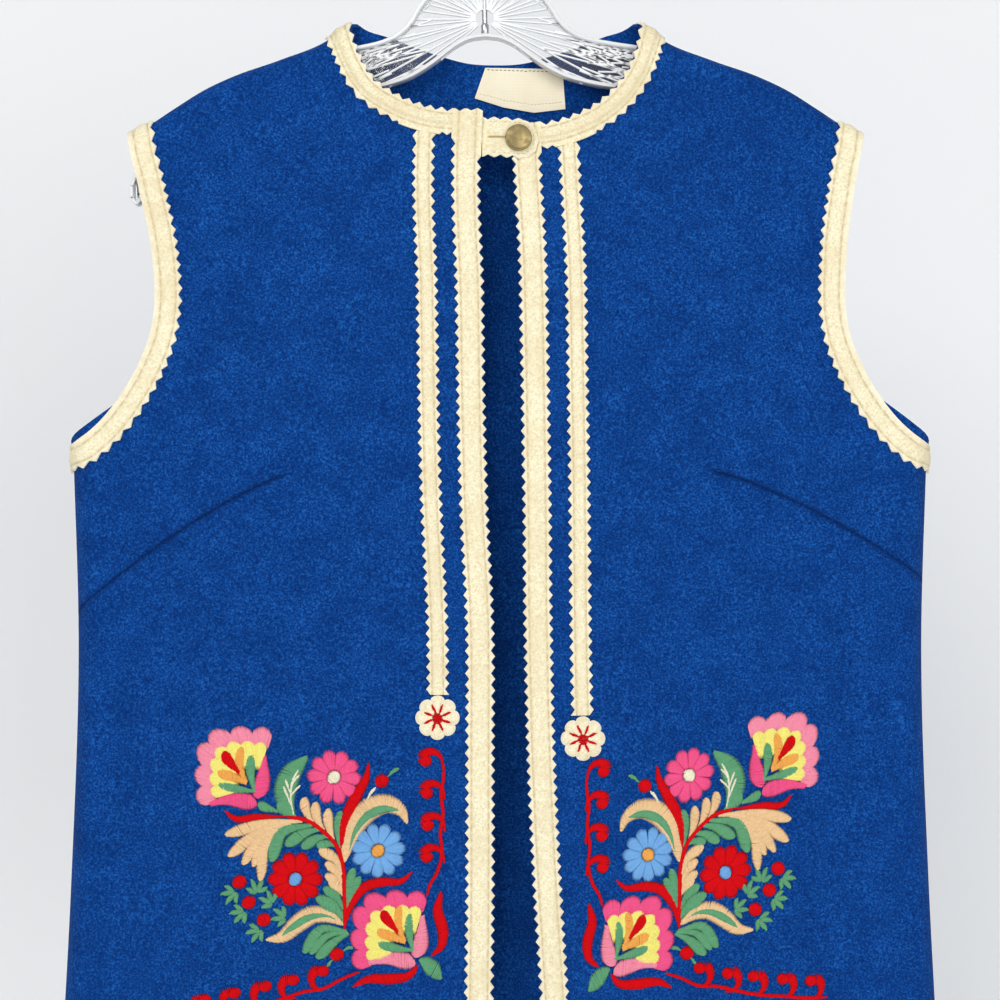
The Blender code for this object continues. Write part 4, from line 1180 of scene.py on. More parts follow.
@dataclass
class WoolPanels:
    """The two fronts and the back, cut from blue fulled wool."""

    roll_drops: tuple[float, ...] = (0.02, 1.3, 2.6, 4.0, 5.4, 6.8, 8.4, 10.1)
    side_insets: tuple[float, ...] = (18.9, 16.4, 14.0, 11.6, 9.2, 6.8, 4.6, 2.6, 1.1, 0.02)
    neck_rows: int = 30
    armhole_rows: int = 44
    front_columns: int = 88
    back_columns: int = 66
    body_rows: int = 104
    underarm_rise: float = 74.0
    first_step: float = 0.35
    growth: float = 1.28
    largest: float = 2.6
    overhang: float = 1.2
    back_rise: float = 0.4
    hem_round: Pair = (0.45, 1.1)
    hem_width: float = 20.0
    hem_turned: float = 0.35
    neck_point: float = 78.0
    shoulder_end: float = 200.0
    bent_share: float = 0.75
    seam_width: float = 1.6
    sharp: float = 50.0

    def from_shoulder(self, line: Numbers, rows: int) -> Numbers:
        """Place a row at each rolled drop and then even rows along a line."""
        drops = CLOTH.shoulder_line(line[:, 0]) - line[:, 1]
        last = int(np.argmax(drops > self.roll_drops[-1]))
        rolled = read_at(np.array(self.roll_drops), drops[:last + 1], line[:last + 1])
        rest = np.concatenate([rolled[-1:], line[last:]])
        return np.concatenate([rolled, resample(rest, np.linspace(0, 1, rows + 1))[1:]])

    def outer_edge(self, side: Side, dart_height: float, body: tuple[Numbers, Numbers]) -> Numbers:
        """Outer edge of a panel, down the armhole and the side seam.

        Args:
            side: Left or right.
            dart_height: Height at which the dart meets the side seam.
            body: Shares of the way from the underarm to the dart, and on to the hem.

        Returns:
            The flat points, one for each row.
        """
        edge = CLOTH.smooth_line(side.value * ARMHOLE_ACROSS, ARMHOLE_HEIGHT)
        edge[-1] = (side.value * CLOTH.side_line(CLOTH.underarm), CLOTH.underarm)
        upper = self.from_shoulder(edge, self.neck_rows + self.armhole_rows)
        heights = np.concatenate([CLOTH.underarm + body[0] * (dart_height - CLOTH.underarm),
                                  dart_height + body[1] * (CLOTH.hem - dart_height)])
        return np.concatenate([upper, paired(side.value * CLOTH.side_line(heights), heights)])

    def upper_weights(self, count: int) -> Numbers:
        """How far each row has turned from following the shoulder."""
        rolled, upper = len(self.roll_drops), self.neck_rows + self.armhole_rows
        weights = smooth_step(np.arange(1, upper + 1) / upper)
        return np.concatenate([np.zeros(rolled), weights, np.ones(count - rolled - upper)])

    def body_shares(self, dart_height: float, corner: float) -> tuple[Numbers, Numbers]:
        """Shares of the way down to the dart and from it to the hem, fine near the dart."""
        steps = (self.first_step, self.growth, self.largest)
        down = clustered(corner - dart_height, *steps)
        rest = clustered(dart_height - CLOTH.hem, *steps)
        near_hem = np.array(self.hem_round[::-1]) / (dart_height - CLOTH.hem)
        shares = rest[1:-1] / rest[-1]
        shares = shares[shares < 1 - 2 * near_hem[0]]
        return (1 - down[::-1] / down[-1])[1:], np.concatenate([shares, 1 - near_hem, [1.0]])

    def front_flat(self, side: Side) -> Numbers:
        """Flat points of one front; its rows bend along the dart.

        Args:
            side: Left or right.

        Returns:
            A grid of flat points, shoulder to hem and front edge to side seam.
        """
        dart = DARTS[side]
        neck = Outlines.front_neck(side, self.overhang).stepped(self.overhang)
        stop = np.abs(EDGE_ACROSS[side](neck[:, 1])) + self.overhang
        neck = neck[np.abs(neck[:, 0]) >= stop]
        corner = CLOTH.underarm + self.underarm_rise
        body = self.body_shares(dart.tip_height, corner)
        heights = np.concatenate([
            np.linspace(neck[-1, 1], corner, self.armhole_rows + 1)[1:],
            corner + body[0] * (dart.tip_height - corner),
            dart.tip_height + body[1] * (CLOTH.hem - dart.tip_height)])
        edge = paired(EDGE_ACROSS[side](heights) + side.value * self.overhang, heights)
        inner = np.concatenate([self.from_shoulder(neck, self.neck_rows), edge])
        outer = self.outer_edge(side, self.dart_end(dart), body)
        insets = np.array(self.side_insets)
        grid = []
        for near, far, weight in zip(inner, outer, self.upper_weights(len(inner))):
            width = abs(far[0] - near[0])
            shares = np.linspace(0, 1 - insets[0] / width, self.front_columns)[:-1]
            shares = np.concatenate([shares, 1 - insets / width])
            across = near[0] + shares * (far[0] - near[0])
            drops = [float(CLOTH.shoulder_line(point[0]) - point[1]) for point in (near, far)]
            hung = CLOTH.shoulder_line(across) - np.interp(shares, (0, 1), drops)
            bend = dart.line(across) - dart.line(near[0])
            bend = bend / (dart.line(far[0]) - dart.line(near[0]))
            bent = near[1] + bend * (far[1] - near[1])
            if weight < 1:
                flat = np.interp(shares, (0, 1), (near[1], far[1]))
                bent = self.bent_share * bent + (1 - self.bent_share) * flat
            grid.append(paired(across, (1 - weight) * hung + weight * bent))
        return np.array(grid)

    @staticmethod
    def dart_end(dart: Dart) -> float:
        """Height at which a dart meets the side seam."""
        height = dart.tip_height
        for _ in range(12):
            height = float(dart.line(CLOTH.side_line(height)))
        return height

    def back_flat(self) -> Numbers:
        """Flat points of the whole back, left side to right side."""
        neck = Outlines.back_neck().stepped(-self.back_rise)
        neck = neck[neck[:, 0] >= -1]
        shares = np.linspace(0, 1, self.body_rows)[1:]
        outer = self.outer_edge(Side.RIGHT, CLOTH.underarm - 1, (np.array([1.0]), shares))
        weights = self.upper_weights(len(outer))
        start = float(np.interp(0, neck[:, 0], neck[:, 1]))
        places = (0, int(np.sum(weights < 1)), len(outer) - 1)
        middle = np.interp(np.arange(len(outer)), places, (start, CLOTH.underarm, CLOTH.hem))
        insets = np.array(self.side_insets)
        spread = np.linspace(0, 1, self.back_columns)[:-1]
        end = self.shoulder_end
        first = np.concatenate([spread * (end - insets[0]), end - insets])
        edge = CLOTH.shoulder_line(first) - np.interp(first, neck[:, 0], neck[:, 1])
        base = np.maximum(np.where(first < self.neck_point, edge, 0), 0)
        grid = []
        for far, centre, weight in zip(outer, middle, weights):
            across = np.concatenate([spread * (far[0] - insets[0]), far[0] - insets])
            drop = float(CLOTH.shoulder_line(far[0]) - far[1])
            hung = CLOTH.shoulder_line(across) - base - drop
            flat = np.interp(across, (0, far[0]), (centre, far[1]))
            grid.append(paired(across, (1 - weight) * hung + weight * flat))
        right = np.array(grid)
        return np.concatenate([right[:, :0:-1] * np.array([-1, 1]), right], axis=1)

    def panel(self, name: str, node: str, face: Face, flat: Numbers) -> bpy.types.Object:
        """Hang a grid of flat points as a wall of felt with a rounded hem.

        Args:
            name: The piece's name.
            node: The node that it stands for.
            face: Its sheet.
            flat: The grid of flat points.

        Returns:
            The piece.
        """
        half = CLOTH.wall / 2
        across, above = flat[..., 0], flat[..., 1] - CLOTH.hem
        near, far = self.hem_round
        thick = np.where(above < near / 2, 0.5, np.where(above < (near + far) / 2, 0.86, 1.0))
        turned = self.hem_turned * smooth_step((self.hem_width + 2 - above) / 4) * (above > 0)
        stitched = -0.5 * hump(above - self.hem_width, 1.3)
        middle, normal = CLOTH.lay(face, across, flat[..., 1])
        outer = middle + normal * (half * thick + stitched * 0.6)[..., None]
        inner = middle - normal * (half * thick + turned)[..., None]
        # The mark paints shade along each dart's groove.
        mark = np.zeros(flat.shape[:2])
        if face is Face.FRONT:
            for dart in DARTS.values():
                seam = dart.reach(across) * hump(flat[..., 1] - dart.line(across), self.seam_width)
                mark = np.maximum(mark, seam)
        builder = MeshBuilder()
        builder.shell(outer, inner, mark)
        return builder.build(name, WOOL, "blue_felt", node, self.sharp)

    def flat_area(self, flat: Numbers) -> float:
        """Area of a grid of flat points in square metres."""
        first = flat[1:, 1:] - flat[:-1, :-1]
        second = flat[:-1, 1:] - flat[1:, :-1]
        cells = np.abs(first[..., 0] * second[..., 1] - first[..., 1] * second[..., 0]) / 2
        return float(cells.sum()) * MM**2

    def build(self) -> None:
        """Make the three panels and work out each one's flat area."""
        cuts = [(f"wool_front_{side.word}", f"front_panel_{side.word}", Face.FRONT,
                 self.front_flat(side)) for side in Side]
        cuts.append(("wool_back", "back_panel", Face.BACK, self.back_flat()))
        for name, node, face, flat in cuts:
            piece = self.panel(name, node, face, flat)
            round(self.flat_area(flat), 4)


# ---------------------------------------------------------------------- felt trims


@dataclass
class FeltBand:
    """One strip of cream felt laid along a path, with puckered rows of stitches."""

    name: str
    node: str
    path: FlatPath
    width: float
    inner_teeth: float = 2.2
    outer_teeth: float = 2.2
    plain: Callable[[Numbers], Numbers] | None = None
    plain_inside: Callable[[Numbers], Numbers] | None = None
    end_teeth: float = 0.0
    thickness: float = 1.5
    pitch: float = 6.1
    parts: int = 3
    seam_in: float = 3.4
    trough: float = 0.78
    pillow: float = 0.32
    ridge: float = 0.0
    roll_lift: float = 0.3
    stitch_length: float = 1.7
    stitch_radius: float = 0.2
    sharp: float = 62.0

    def profile(self, inside: Numbers, phase: Numbers) -> Numbers:
        """Thickness of the felt at distances in from the nearer edge's valley line.

        Args:
            inside: Distance from the inner edge's line.
            phase: Places along the band, in half teeth.

        Returns:
            The thickness there.
        """
        near = np.minimum(inside, self.width - inside)
        beat = 0.5 + 0.5 * np.cos(2 * math.pi * phase)
        seam = hump(near - self.seam_in, 0.75) * (self.trough * (0.62 + 0.38 * beat))
        middle = smooth_step((near - self.seam_in) / (self.width / 2 - self.seam_in))
        lift = self.pillow * middle * (1 + 0.35 * np.sin(1.31 * phase + 0.4 * np.sin(0.17 * phase)))
        return self.thickness - seam + lift + self.ridge * hump(inside - self.width / 2, 0.9)

    def columns(self) -> Numbers:
        """Distances in from the inner edge at which the mesh has points."""
        near, middle = self.seam_in, self.width / 2
        half = [2.55, near - 0.4, near, near + 0.4, near + 1.1]
        inner = [*half, (half[-1] + middle) / 2, middle]
        return np.array([*inner, *(self.width - np.array(inner[-2::-1]))])

    def teeth(self, depth: float, plain: Callable[[Numbers], Numbers] | None,
              even: FlatPath) -> Numbers:
        """Depth of an edge's teeth at each station, 0 where it is plain."""
        depths = np.full(len(even.phase), depth)
        return depths if plain is None else np.where(plain(even.flat), 0.0, depths)

    def build(self) -> None:
        """Make the band and its stitches."""
        even = self.path.at_stations(self.pitch / 2, self.parts)
        phase, wave = even.phase, tooth_wave(even.phase)
        cuts = (self.inner_teeth, self.outer_teeth)
        depths = [self.teeth(cut, plain, even)
                  for cut, plain in zip(cuts, (self.plain_inside, self.plain))]
        first = depths[0] * wave
        last = self.width - depths[1] * (1 - wave)
        columns = self.columns()
        inside = [first, (first + columns[0]) / 2]
        inside += [np.full(len(phase), column) for column in columns]
        inside += [(last + columns[-1]) / 2, last]
        base = CLOTH.wall / 2 + CLOTH.gap + self.roll_lift * even.rolled()
        tops, feet, marks = [], [], []
        for number, distance in enumerate(inside):
            flat = even.stepped(distance)
            flat[0, 1] += self.end_teeth * tooth_wave(2 * distance[0] / self.pitch)
            middle, normal = even.lay(flat)
            rim = min(number, len(inside) - 1 - number)
            nearest = int(number >= len(inside) / 2)
            flush = (cuts[nearest] > 0) & (depths[nearest] == 0)
            thin = {0: 0.62 if cuts[nearest] else 0.80, 1: 0.95}.get(rim, 1.0)
            top = self.profile(distance, phase) * np.where(flush, 1.0, thin)
            tops.append(middle + normal * (base + top)[:, None])
            feet.append(middle + normal * base[:, None])
            # Below zero the mark paints shade in the stitch troughs and beside the neck band's
            # ridge.
            near = np.minimum(distance, self.width - distance)
            seam = hump(near - self.seam_in, 0.55) * (0.7 + 0.3 * np.cos(math.pi * phase))
            fold = 0.8 * self.ridge * hump(distance - 0.58 * self.width, 0.8)
            edge = np.where(flush, 0.0, {0: 1.0, 1: 0.7, 2: 0.3}.get(rim, 0.0))
            marks.append(edge - np.maximum(0.75 * seam, fold))
        builder = MeshBuilder()
        builder.shell(*(np.stack(rows, axis=1) for rows in (tops, feet, marks)))
        piece = builder.build(self.name, FELT, "cream_felt", self.node, self.sharp)
        self.stitches(even, base)

    def stitches(self, even: FlatPath, base: Numbers) -> bpy.types.Object:
        """Lay a row of small stitches in each trough.

        Args:
            even: The band's stations.
            base: The band's underside at each station.

        Returns:
            The piece with all the stitches.
        """
        builder, phase = MeshBuilder(), even.phase
        rng = np.random.default_rng(len(phase))
        starts = np.arange(0.5, phase[-1] - 0.3, 1.0)
        half = self.stitch_length / self.pitch
        for inside in (self.seam_in, self.width - self.seam_in):
            top = base + self.profile(np.full(len(phase), inside), phase)
            middle, normal = even.lay(even.stepped(inside))
            knots = []
            for share in (-1.0, -0.45, 0.45, 1.0):
                place = starts + share * half + rng.normal(0, 0.05, len(starts))
                rise = np.interp(place, phase, top) + (0.10 if abs(share) < 1 else -0.22)
                up = unit(read_at(place, phase, normal))
                knots.append((read_at(place, phase, middle) + up * rise[:, None], up))
            builder.stitches(knots, self.stitch_radius, rng.normal(0, 0.12, len(starts)))
        return builder.build(f"stitches_{self.name}", THREAD, "cream_felt")


@dataclass
class Trims:
    """All the pinked bands of the vest."""

    neck_width: float = 15.0
    neck_ridge: float = 0.55
    armhole_width: float = 15.0
    edge_width: float = 16.2
    edge_end_teeth: float = 1.7
    butt: float = -0.25
    strip_width: float = 12.4
    strip_seam_in: float = 3.1
    strip_offset: float = 31.0
    tab_root_height: float = -154.6
    tab_half: float = 11.5
    overhang: float = 1.2
    front_neck_below: float = -125.0
    tooth_pitch: float = 6.1
    strip_ends: Pair = (-456.0, -467.2)
    edge_slopes: Pair = (0.0, 0.12)

    def strip_end(self, side: Side) -> float:
        """Height at which a thin strip ends."""
        return self.strip_ends[side is Side.RIGHT]

    def front_neck(self, side: Side) -> FlatPath:
        """The neckline of one front as far as the wide band."""
        return Outlines.front_neck(side, self.edge_width + self.butt)

    def neck_lower(self, side: Side) -> Callable[[Numbers | float], Numbers]:
        """Outer edge of the neck band on one front, as heights along the distance across."""
        lower = self.front_neck(side).stepped(self.neck_width)
        order = np.argsort(side.value * lower[:, 0])
        distance = side.value * lower[order, 0]
        return lambda across: np.interp(side.value * across, distance, lower[order, 1])

    def strip_centre(self, side: Side, height: Numbers | float) -> Numbers:
        """Distance across of the middle of a thin strip."""
        return EDGE_ACROSS[side](height) + side.value * self.strip_offset

    def plain_neck(self, flat: Numbers) -> Numbers:
        """Tell where the neck band's edge is plain, over the thin strips' tops."""
        near = [np.abs(flat[:, 0] - self.strip_centre(side, flat[:, 1])) for side in Side]
        over = np.minimum(*near) < (self.strip_width + self.tooth_pitch) / 2
        return over & (flat[:, 1] < self.front_neck_below)

    def neck(self) -> FeltBand:
        """One band round the whole neck."""
        path = self.front_neck(Side.LEFT).backwards().joined(Outlines.back_neck())
        return FeltBand("felt_neck_band", "neck_trim", path.joined(self.front_neck(Side.RIGHT)),
                        self.neck_width, ridge=self.neck_ridge, plain=self.plain_neck)

    def armhole(self, side: Side) -> FeltBand:
        """One band round an armhole, folded over the edge and pinked on the body."""
        path = Outlines.armhole(Face.FRONT, side).backwards()
        path = path.joined(Outlines.armhole(Face.BACK, side))
        return FeltBand(f"felt_armhole_{side.word}", f"armhole_trim_{side.word}", path,
                        self.armhole_width, inner_teeth=0.0)

    def edge(self, side: Side) -> FeltBand:
        """The wide band down one front edge."""
        lower = self.neck_lower(side)
        path = Outlines.front_edge(side, float(NECK_FRONT[side][-1]), CLOTH.hem)
        slope = self.edge_slopes[side is Side.RIGHT]
        path.turn_at_end((1.0, slope), FlatPath.END_BLEND, last=False)

        def beside_neck(flat: Numbers) -> Numbers:
            """Tell where the band's edge lies beside the neck band."""
            return flat[:, 1] > lower(flat[:, 0] + side.value * self.edge_width) - self.overhang

        def beside_tab(flat: Numbers) -> Numbers:
            """Tell where the left band's edge lies over the tab's root."""
            return (flat[:, 1] > self.tab_root_height - self.tab_half) & (side is Side.LEFT)

        return FeltBand(f"felt_edge_{side.word}", f"front_edge_trim_{side.word}", path,
                        self.edge_width, plain=beside_neck, plain_inside=beside_tab,
                        end_teeth=self.edge_end_teeth if side is Side.LEFT else 0.0)

    def strip(self, side: Side) -> FeltBand:
        """The thin band beside the wide one."""
        lower = self.neck_lower(side)
        inner = self.strip_offset - self.strip_width / 2
        near = float(EDGE_ACROSS[side](self.tab_root_height)) + side.value * inner
        far = near + side.value * self.strip_width
        top = float(lower(near)) - CLOTH.gap
        path = Outlines.front_edge(side, top, self.strip_end(side), inner)
        slant = (far - near, float(lower(far)) - CLOTH.gap - top)
        path.turn_at_end(slant, FlatPath.END_BLEND, last=False)
        return FeltBand(f"felt_strip_{side.word}", f"front_strip_{side.word}", path,
                        self.strip_width, seam_in=self.strip_seam_in)

    def build(self) -> None:
        """Make every band."""
        self.neck().build()
        for side in Side:
            for band in (self.armhole, self.edge, self.strip):
                band(side).build()


# ---------------------------------------------------------------- threads on the cloth

Batch = tuple[Numbers, Numbers, Numbers]
Spine = Sequence[Pair]


@dataclass
class Threads:
    """Threads of one yarn: batches of flat lines, heights above the front, and tones."""

    yarn: Yarn
    radius: float = 0.37
    flatness: float = 0.92
    thin_end: float = 0.55
    shade: float = 0.9
    batches: list[Batch] = field(default_factory=list)

    def build(self, name: str) -> None:
        """Lay the threads on the front and make one piece of them."""
        builder = MeshBuilder()
        for lines, heights, tones in self.batches:
            middle, normal = CLOTH.lay(Face.FRONT, lines[..., 0], lines[..., 1])
            points = middle + normal * (CLOTH.wall / 2 + heights)[..., None]
            taper = np.ones(lines.shape[1])
            taper[[0, -1]] = self.thin_end
            size = self.radius * taper[None]
            marks = tones[:, None] - self.shade * (taper < 1)
            builder.tubes(points, normal, size, size * self.flatness, mark=marks)
        builder.build(name, YarnFinish(self.yarn.value, f"finish_yarn_{self.yarn.word}"))


class Form(Enum):
    """Outlines of stitched shapes; each value is its stitches' slant along the spine."""

    STEM = 2.4
    LEAF = 0.7
    LOBE = 0.55
    TAIL = 1.2
    COMMA = 0.5

    def half_width(self, share: Numbers) -> Numbers:
        """Half width at shares of the spine, at most 1."""
        share = np.clip(share, 0.0, 1.0)
        if self is Form.STEM:
            return (1 - np.abs(2 * share - 1) ** 8) ** 0.5
        if self is Form.LEAF:
            return np.sin(math.pi * share**0.95) ** 0.72
        if self is Form.TAIL:
            return np.sin(math.pi * share**1.5) ** 0.9
        start, turn, thin = (1 - share, 0.26, 0.68) if self is Form.LOBE else (share, 0.20, 0.80)
        body = 1 - thin * smooth_step((start - turn) / (1 - turn))
        return body * np.sqrt(np.maximum(1 - np.maximum(1 - start / turn, 0) ** 2, 0))


@dataclass(frozen=True)
class Needle:
    """How the embroiderer lays yarn: spacing, how high it crowns, how uneven it is."""

    spacing: float = 0.52
    crown: float = 0.72
    low_crown: float = 0.22
    crown_rise: float = 0.13
    dip: float = 0.16
    wander: float = 0.10
    tone: float = 0.09
    shares: tuple[float, ...] = (0.0, 0.16, 0.5, 0.84, 1.0)

    def lay(self, starts: Numbers, ends: Numbers, rng: np.random.Generator, lift: float = 0.0,
            fullness: Numbers | float = 1.0) -> Batch:
        """Carry threads from starts to ends over a low crown.

        Args:
            starts: Where the threads come up.
            ends: Where they go down.
            rng: The embroiderer's unevenness.
            lift: Height of the stitches underneath.
            fullness: Share of the crown's height for each thread.

        Returns:
            The threads' points, heights and tones.
        """
        starts = starts + rng.normal(0, self.wander, starts.shape)
        ends = ends + rng.normal(0, self.wander, ends.shape)
        share = np.array(self.shares)
        lines = starts[:, None] + (ends - starts)[:, None] * share[:, None]
        length = np.linalg.norm(ends - starts, axis=1)
        crown = np.minimum(self.low_crown + self.crown_rise * length, self.crown) * fullness
        crown = crown * rng.uniform(0.88, 1.10, len(crown))
        arch = (1 - (2 * share - 1) ** 4) ** 0.9
        heights = lift + crown[:, None] * arch + self.dip * (2 * arch - 1)
        return lines, heights, rng.normal(0, self.tone, len(starts))


NEEDLE = Needle()


def spine_curve(points: Spine, count: int = 60) -> Numbers:
    """Run a smooth curve with even steps through a few points."""
    points, shares = np.array(points, float), np.linspace(0, 1, count)
    if len(points) == 2:
        return points[0] + shares[:, None] * (points[1] - points[0])
    return resample(glide_through(lengths(points), points, count), shares)


@dataclass(frozen=True)
class Blade:
    """A shape filled with stitches slanting across its spine."""

    yarn: Yarn
    form: Form
    width: float
    spine: Spine
    lift: float = 0.0
    margin: float = 0.012
    widest_slant: float = 1.6

    def threads(self, rng: np.random.Generator) -> Batch:
        """Lay the shape's threads in the motif's own frame."""
        curve = spine_curve(self.spine)
        length = lengths(curve)[-1]
        count = max(4, round(length / NEEDLE.spacing))
        share = np.linspace(self.margin, 1 - self.margin, count)
        half = self.width / 2 * self.form.half_width(share)
        shift = np.minimum(half, self.widest_slant) * self.form.value / length
        along = np.linspace(0, 1, len(curve))
        beside = unit(np.gradient(curve, axis=0)) @ np.array([[0.0, 1.0], [-1.0, 0.0]])
        ends = []
        for sign in (-1, 1):
            at = np.clip(share + sign * shift, 0, 1)
            out = unit(read_at(at, along, beside))
            ends.append(read_at(at, along, curve) + sign * out * half[:, None])
        return NEEDLE.lay(*ends, rng, self.lift)


@dataclass(frozen=True)
class Fan:
    """Stitches that radiate between two radii, such as a petal's band or a flower."""

    yarn: Yarn
    centre: Pair
    inner: float
    outer: float
    start: float = 0.0
    sweep: float = 360.0
    scallops: float = 11.0
    scallop: float = 0.13
    droop: float = 0.0
    lift: float = 0.0
    notch: float = 0.0
    square: bool = False

    def threads(self, rng: np.random.Generator) -> Batch:
        """Lay the fan's threads in the motif's own frame."""
        spacing = NEEDLE.spacing * (0.74 if self.square else 1.04)
        count = round(self.outer * math.radians(self.sweep) / spacing)
        share = (np.arange(count) + 0.5) / count
        turn = 0.5 if self.square else 0.0
        wave = np.abs(np.cos(math.pi * (self.scallops * share + turn))) ** 0.6
        share, wave = share[wave >= self.notch], wave[wave >= self.notch]
        angle = np.radians(self.start + self.sweep * share)
        way = paired(np.cos(angle), np.sin(angle))
        sag = 1 - self.droop * (2 * share - 1) ** 6
        if self.square:
            sag = sag / np.sum(np.abs(way) ** 4, axis=1) ** 0.25
        outer = self.outer * sag * (1 - self.scallop * (1 - wave))
        inner = self.inner * sag * (1 + 0.08 * (np.arange(len(share)) % 2))
        dip = smooth_step((wave - self.notch) / 0.5) if self.notch else 0.6 + 0.4 * wave
        ends = (np.array(self.centre) + way * reach[:, None] for reach in (inner, outer))
        lines, heights, tones = NEEDLE.lay(*ends, rng, self.lift, 0.25 + 0.75 * dip)
        # Threads that dip into the notches get a lower tone: painted shade between the scallops and
        # petals.
        return lines, heights, tones - 0.45 * (1 - dip)


@dataclass(frozen=True)
class Dot:
    """A round satin dot."""

    yarn: Yarn
    centre: Pair
    radius: float
    turn: float = 20.0
    lift: float = 0.0

    def threads(self, rng: np.random.Generator) -> Batch:
        """Lay the dot's threads in the motif's own frame."""
        count = max(4, round(2 * self.radius / NEEDLE.spacing))
        off = (np.linspace(-1, 1, count) * 0.93 * self.radius)[:, None]
        chord = np.sqrt(np.maximum(self.radius**2 - off**2, 0.04))
        turn = math.radians(self.turn)
        along = np.array([math.cos(turn), math.sin(turn)])
        spot = np.array(self.centre) + off * np.array([-along[1], along[0]])
        return NEEDLE.lay(spot - chord * along, spot + chord * along, rng, self.lift)


Shape = Blade | Fan | Dot


def spine(pairs: Sequence[float], u: float = 0.0, v: float = 0.0) -> Spine:
    """Turn a row of numbers to pairs, outward and up, moved by a place."""
    return [(u + out, v + up) for out, up in zip(pairs[::2], pairs[1::2])]


# ----------------------------------------------------------------- corner embroidery

# Stitched shapes by yarn and form.  Each row: width, lift, then the spine as pairs outward
# and up from the foot of the main stem
SPRAY = (
    (Yarn.RED, Form.STEM,
     (2.3, 0.3, 0, 0, 0.5, 19.5, 1.5, 35, 4.5, 44.5, 12, 52.5, 20, 58, 32.5, 60.5)),
    (Yarn.RED, Form.TAIL, (3.9, 0.3, 30, 60.5, 40, 60.5, 48, 60.5, 60, 59.5, 65, 64)),
    (Yarn.RED, Form.LEAF,
     (6.4, 0.2, 2, 43, 1, 56, -5, 70, -11, 81.5, -12.5, 89.5),
     (5.6, 0.2, 0, 2.5, -3, 13, -11, 23, -20, 25.5, -30, 26, -36, 31),
     (6.4, 0, -51.5, 20.5, -49.5, 10.5, -52.5, -1, -51.5, -9.5, -46, -14.5),
     (6, 0, -39, -19, -34.5, -24.5, -24.5, -26.5, -12, -27, -4, -31)),
    (Yarn.GREEN, Form.LEAF, (13, 0, 27.5, 60.5, 32.5, 70, 30.5, 82, 21, 93)),
    (Yarn.GREEN, Form.LOBE,
     (5.8, 0, 36.5, 63, 42, 65, 47.5, 66.5), (6, 0, 26.5, 60.5, 32.5, 63, 37, 67.5),
     (5.6, 0, 3, 43.5, 4, 53.5, 3, 63.5)),
    (Yarn.TAN, Form.LOBE,
     (6, 0, 17.5, 57, 21, 63, 23, 70.5), (6, 0, 11.5, 52, 15.5, 60.5, 17, 68),
     (6, 0, 6, 46, 9, 56, 10, 64.5), (7, 0, 23, 58, 47, 56, 64.5, 50.5),
     (6.8, 0.2, 31.5, 57.5, 49, 50.5, 62.5, 39), (6.2, 0.04, 31, 57, 47, 47.5, 55, 34.5),
     (5.4, 0.22, 30.5, 56.5, 44.5, 46.5, 49.5, 33.5), (6.2, 0.1, 29.5, 56.5, 43, 45, 45.5, 26)),
    (Yarn.GREEN, Form.LOBE,
     (8, 0.4, 18, 56, 35, 51.5, 39.5, 36), (7.2, 0.26, 13, 54, 22.5, 51.5, 32, 44.5),
     (6.4, 0.14, 8.5, 50, 15.5, 49, 23, 43), (6, 0, 5, 45, 10.5, 46, 15, 43.5)),
    (Yarn.TAN, Form.LOBE,
     (6.4, 0.4, 1.5, 29.5, 6, 38.5, 14.5, 42), (5.8, 0.26, 1.5, 24.5, 5.5, 32, 11, 35),
     (5.8, 0.14, 1, 19, 5, 26, 11, 28.5), (5.4, 0, 1, 18, 4, 22, 9, 25)),
    (Yarn.GREEN, Form.LOBE,
     (6.2, 0.3, 1, 11, 5.5, 18.5, 12, 21.5), (6.8, 0.16, 0.5, 6.5, 6.5, 13.5, 16, 16),
     (7, 0, 0.5, 5, 5.5, 11, 13, 12.5), (5.6, 0, -0.5, 11, -2, 22.5, -4, 33),
     (5.6, 0.2, -1, 11.5, -3.5, 19.5, -7.5, 28.5)),
    (Yarn.TAN, Form.LEAF,
     (13, 0, 0.5, 35.5, -3, 51.5, -11.5, 63.5, -22.5, 67.5, -30.5, 63.5, -33.5, 56.5),
     (10.5, 0, 0.5, 2.5, 8.5, 7, 17, 8, 26, 2.5, 34, -4.5, 43, -6)),
    (Yarn.GREEN, Form.LOBE,
     (6.6, 0, -1, -1, 13, 0, 22, -13), (5.2, 0.2, -1.5, -1.5, 10, -3.5, 18.5, -13.5),
     (6.6, 0.1, -2, -2, 6, -6.5, 15, -16)),
    (Yarn.GREEN, Form.LEAF, (9.5, 0, -39.5, -16.5, -45.5, -20, -52, -26.5)),
    (Yarn.GREEN, Form.TAIL,
     (5.4, 0.5, -2, 41.5, -5, 51.5, -12, 61, -21, 65, -29, 64),
     (4.6, 0.5, 4, 5, 10.5, 7.5, 18, 7, 27, 2, 34, -3.5)),
    (Yarn.GREEN, Form.LOBE, (2.2, 0, -23, 82, -25.5, 84.5, -28.5, 86.5)),
    (Yarn.WHITE, Form.LOBE, (1.6, 0, -11.5, 69, -13.5, 73, -16, 76)),
    (Yarn.GREEN, Form.LOBE,
     (2.2, 0, 1, -11.5, -1.5, -10, -4, -9.5), (2, 0, 7, -16.5, 8.5, -18, 9.5, -20)),
    (Yarn.WHITE, Form.LOBE,
     (1.1, 0.6, 28, 61.5, 29.5, 71.5, 28.5, 79.5, 25.5, 85.5),
     (1.1, 0.7, 29.5, 67, 31.5, 72, 33.5, 76.5), (1.1, 0.7, 30, 73.5, 31.5, 77.5, 32.5, 80),
     (1.1, 0.7, 29.5, 71.5, 27, 74.5, 24.5, 77), (1.1, 0.7, 29, 77, 27, 80.5, 25, 82.5)))

# Tulips: foot, how far the fans' foot lies from it, yarn of the rim and of the side petals
TULIPS = (((49.5, 73.5), (-0.9, 3.4), Yarn.LIGHT_PINK, Yarn.HOT_PINK),
          ((-36.0, -12.0), (1.0, 0.8), Yarn.HOT_PINK, Yarn.LIGHT_PINK))

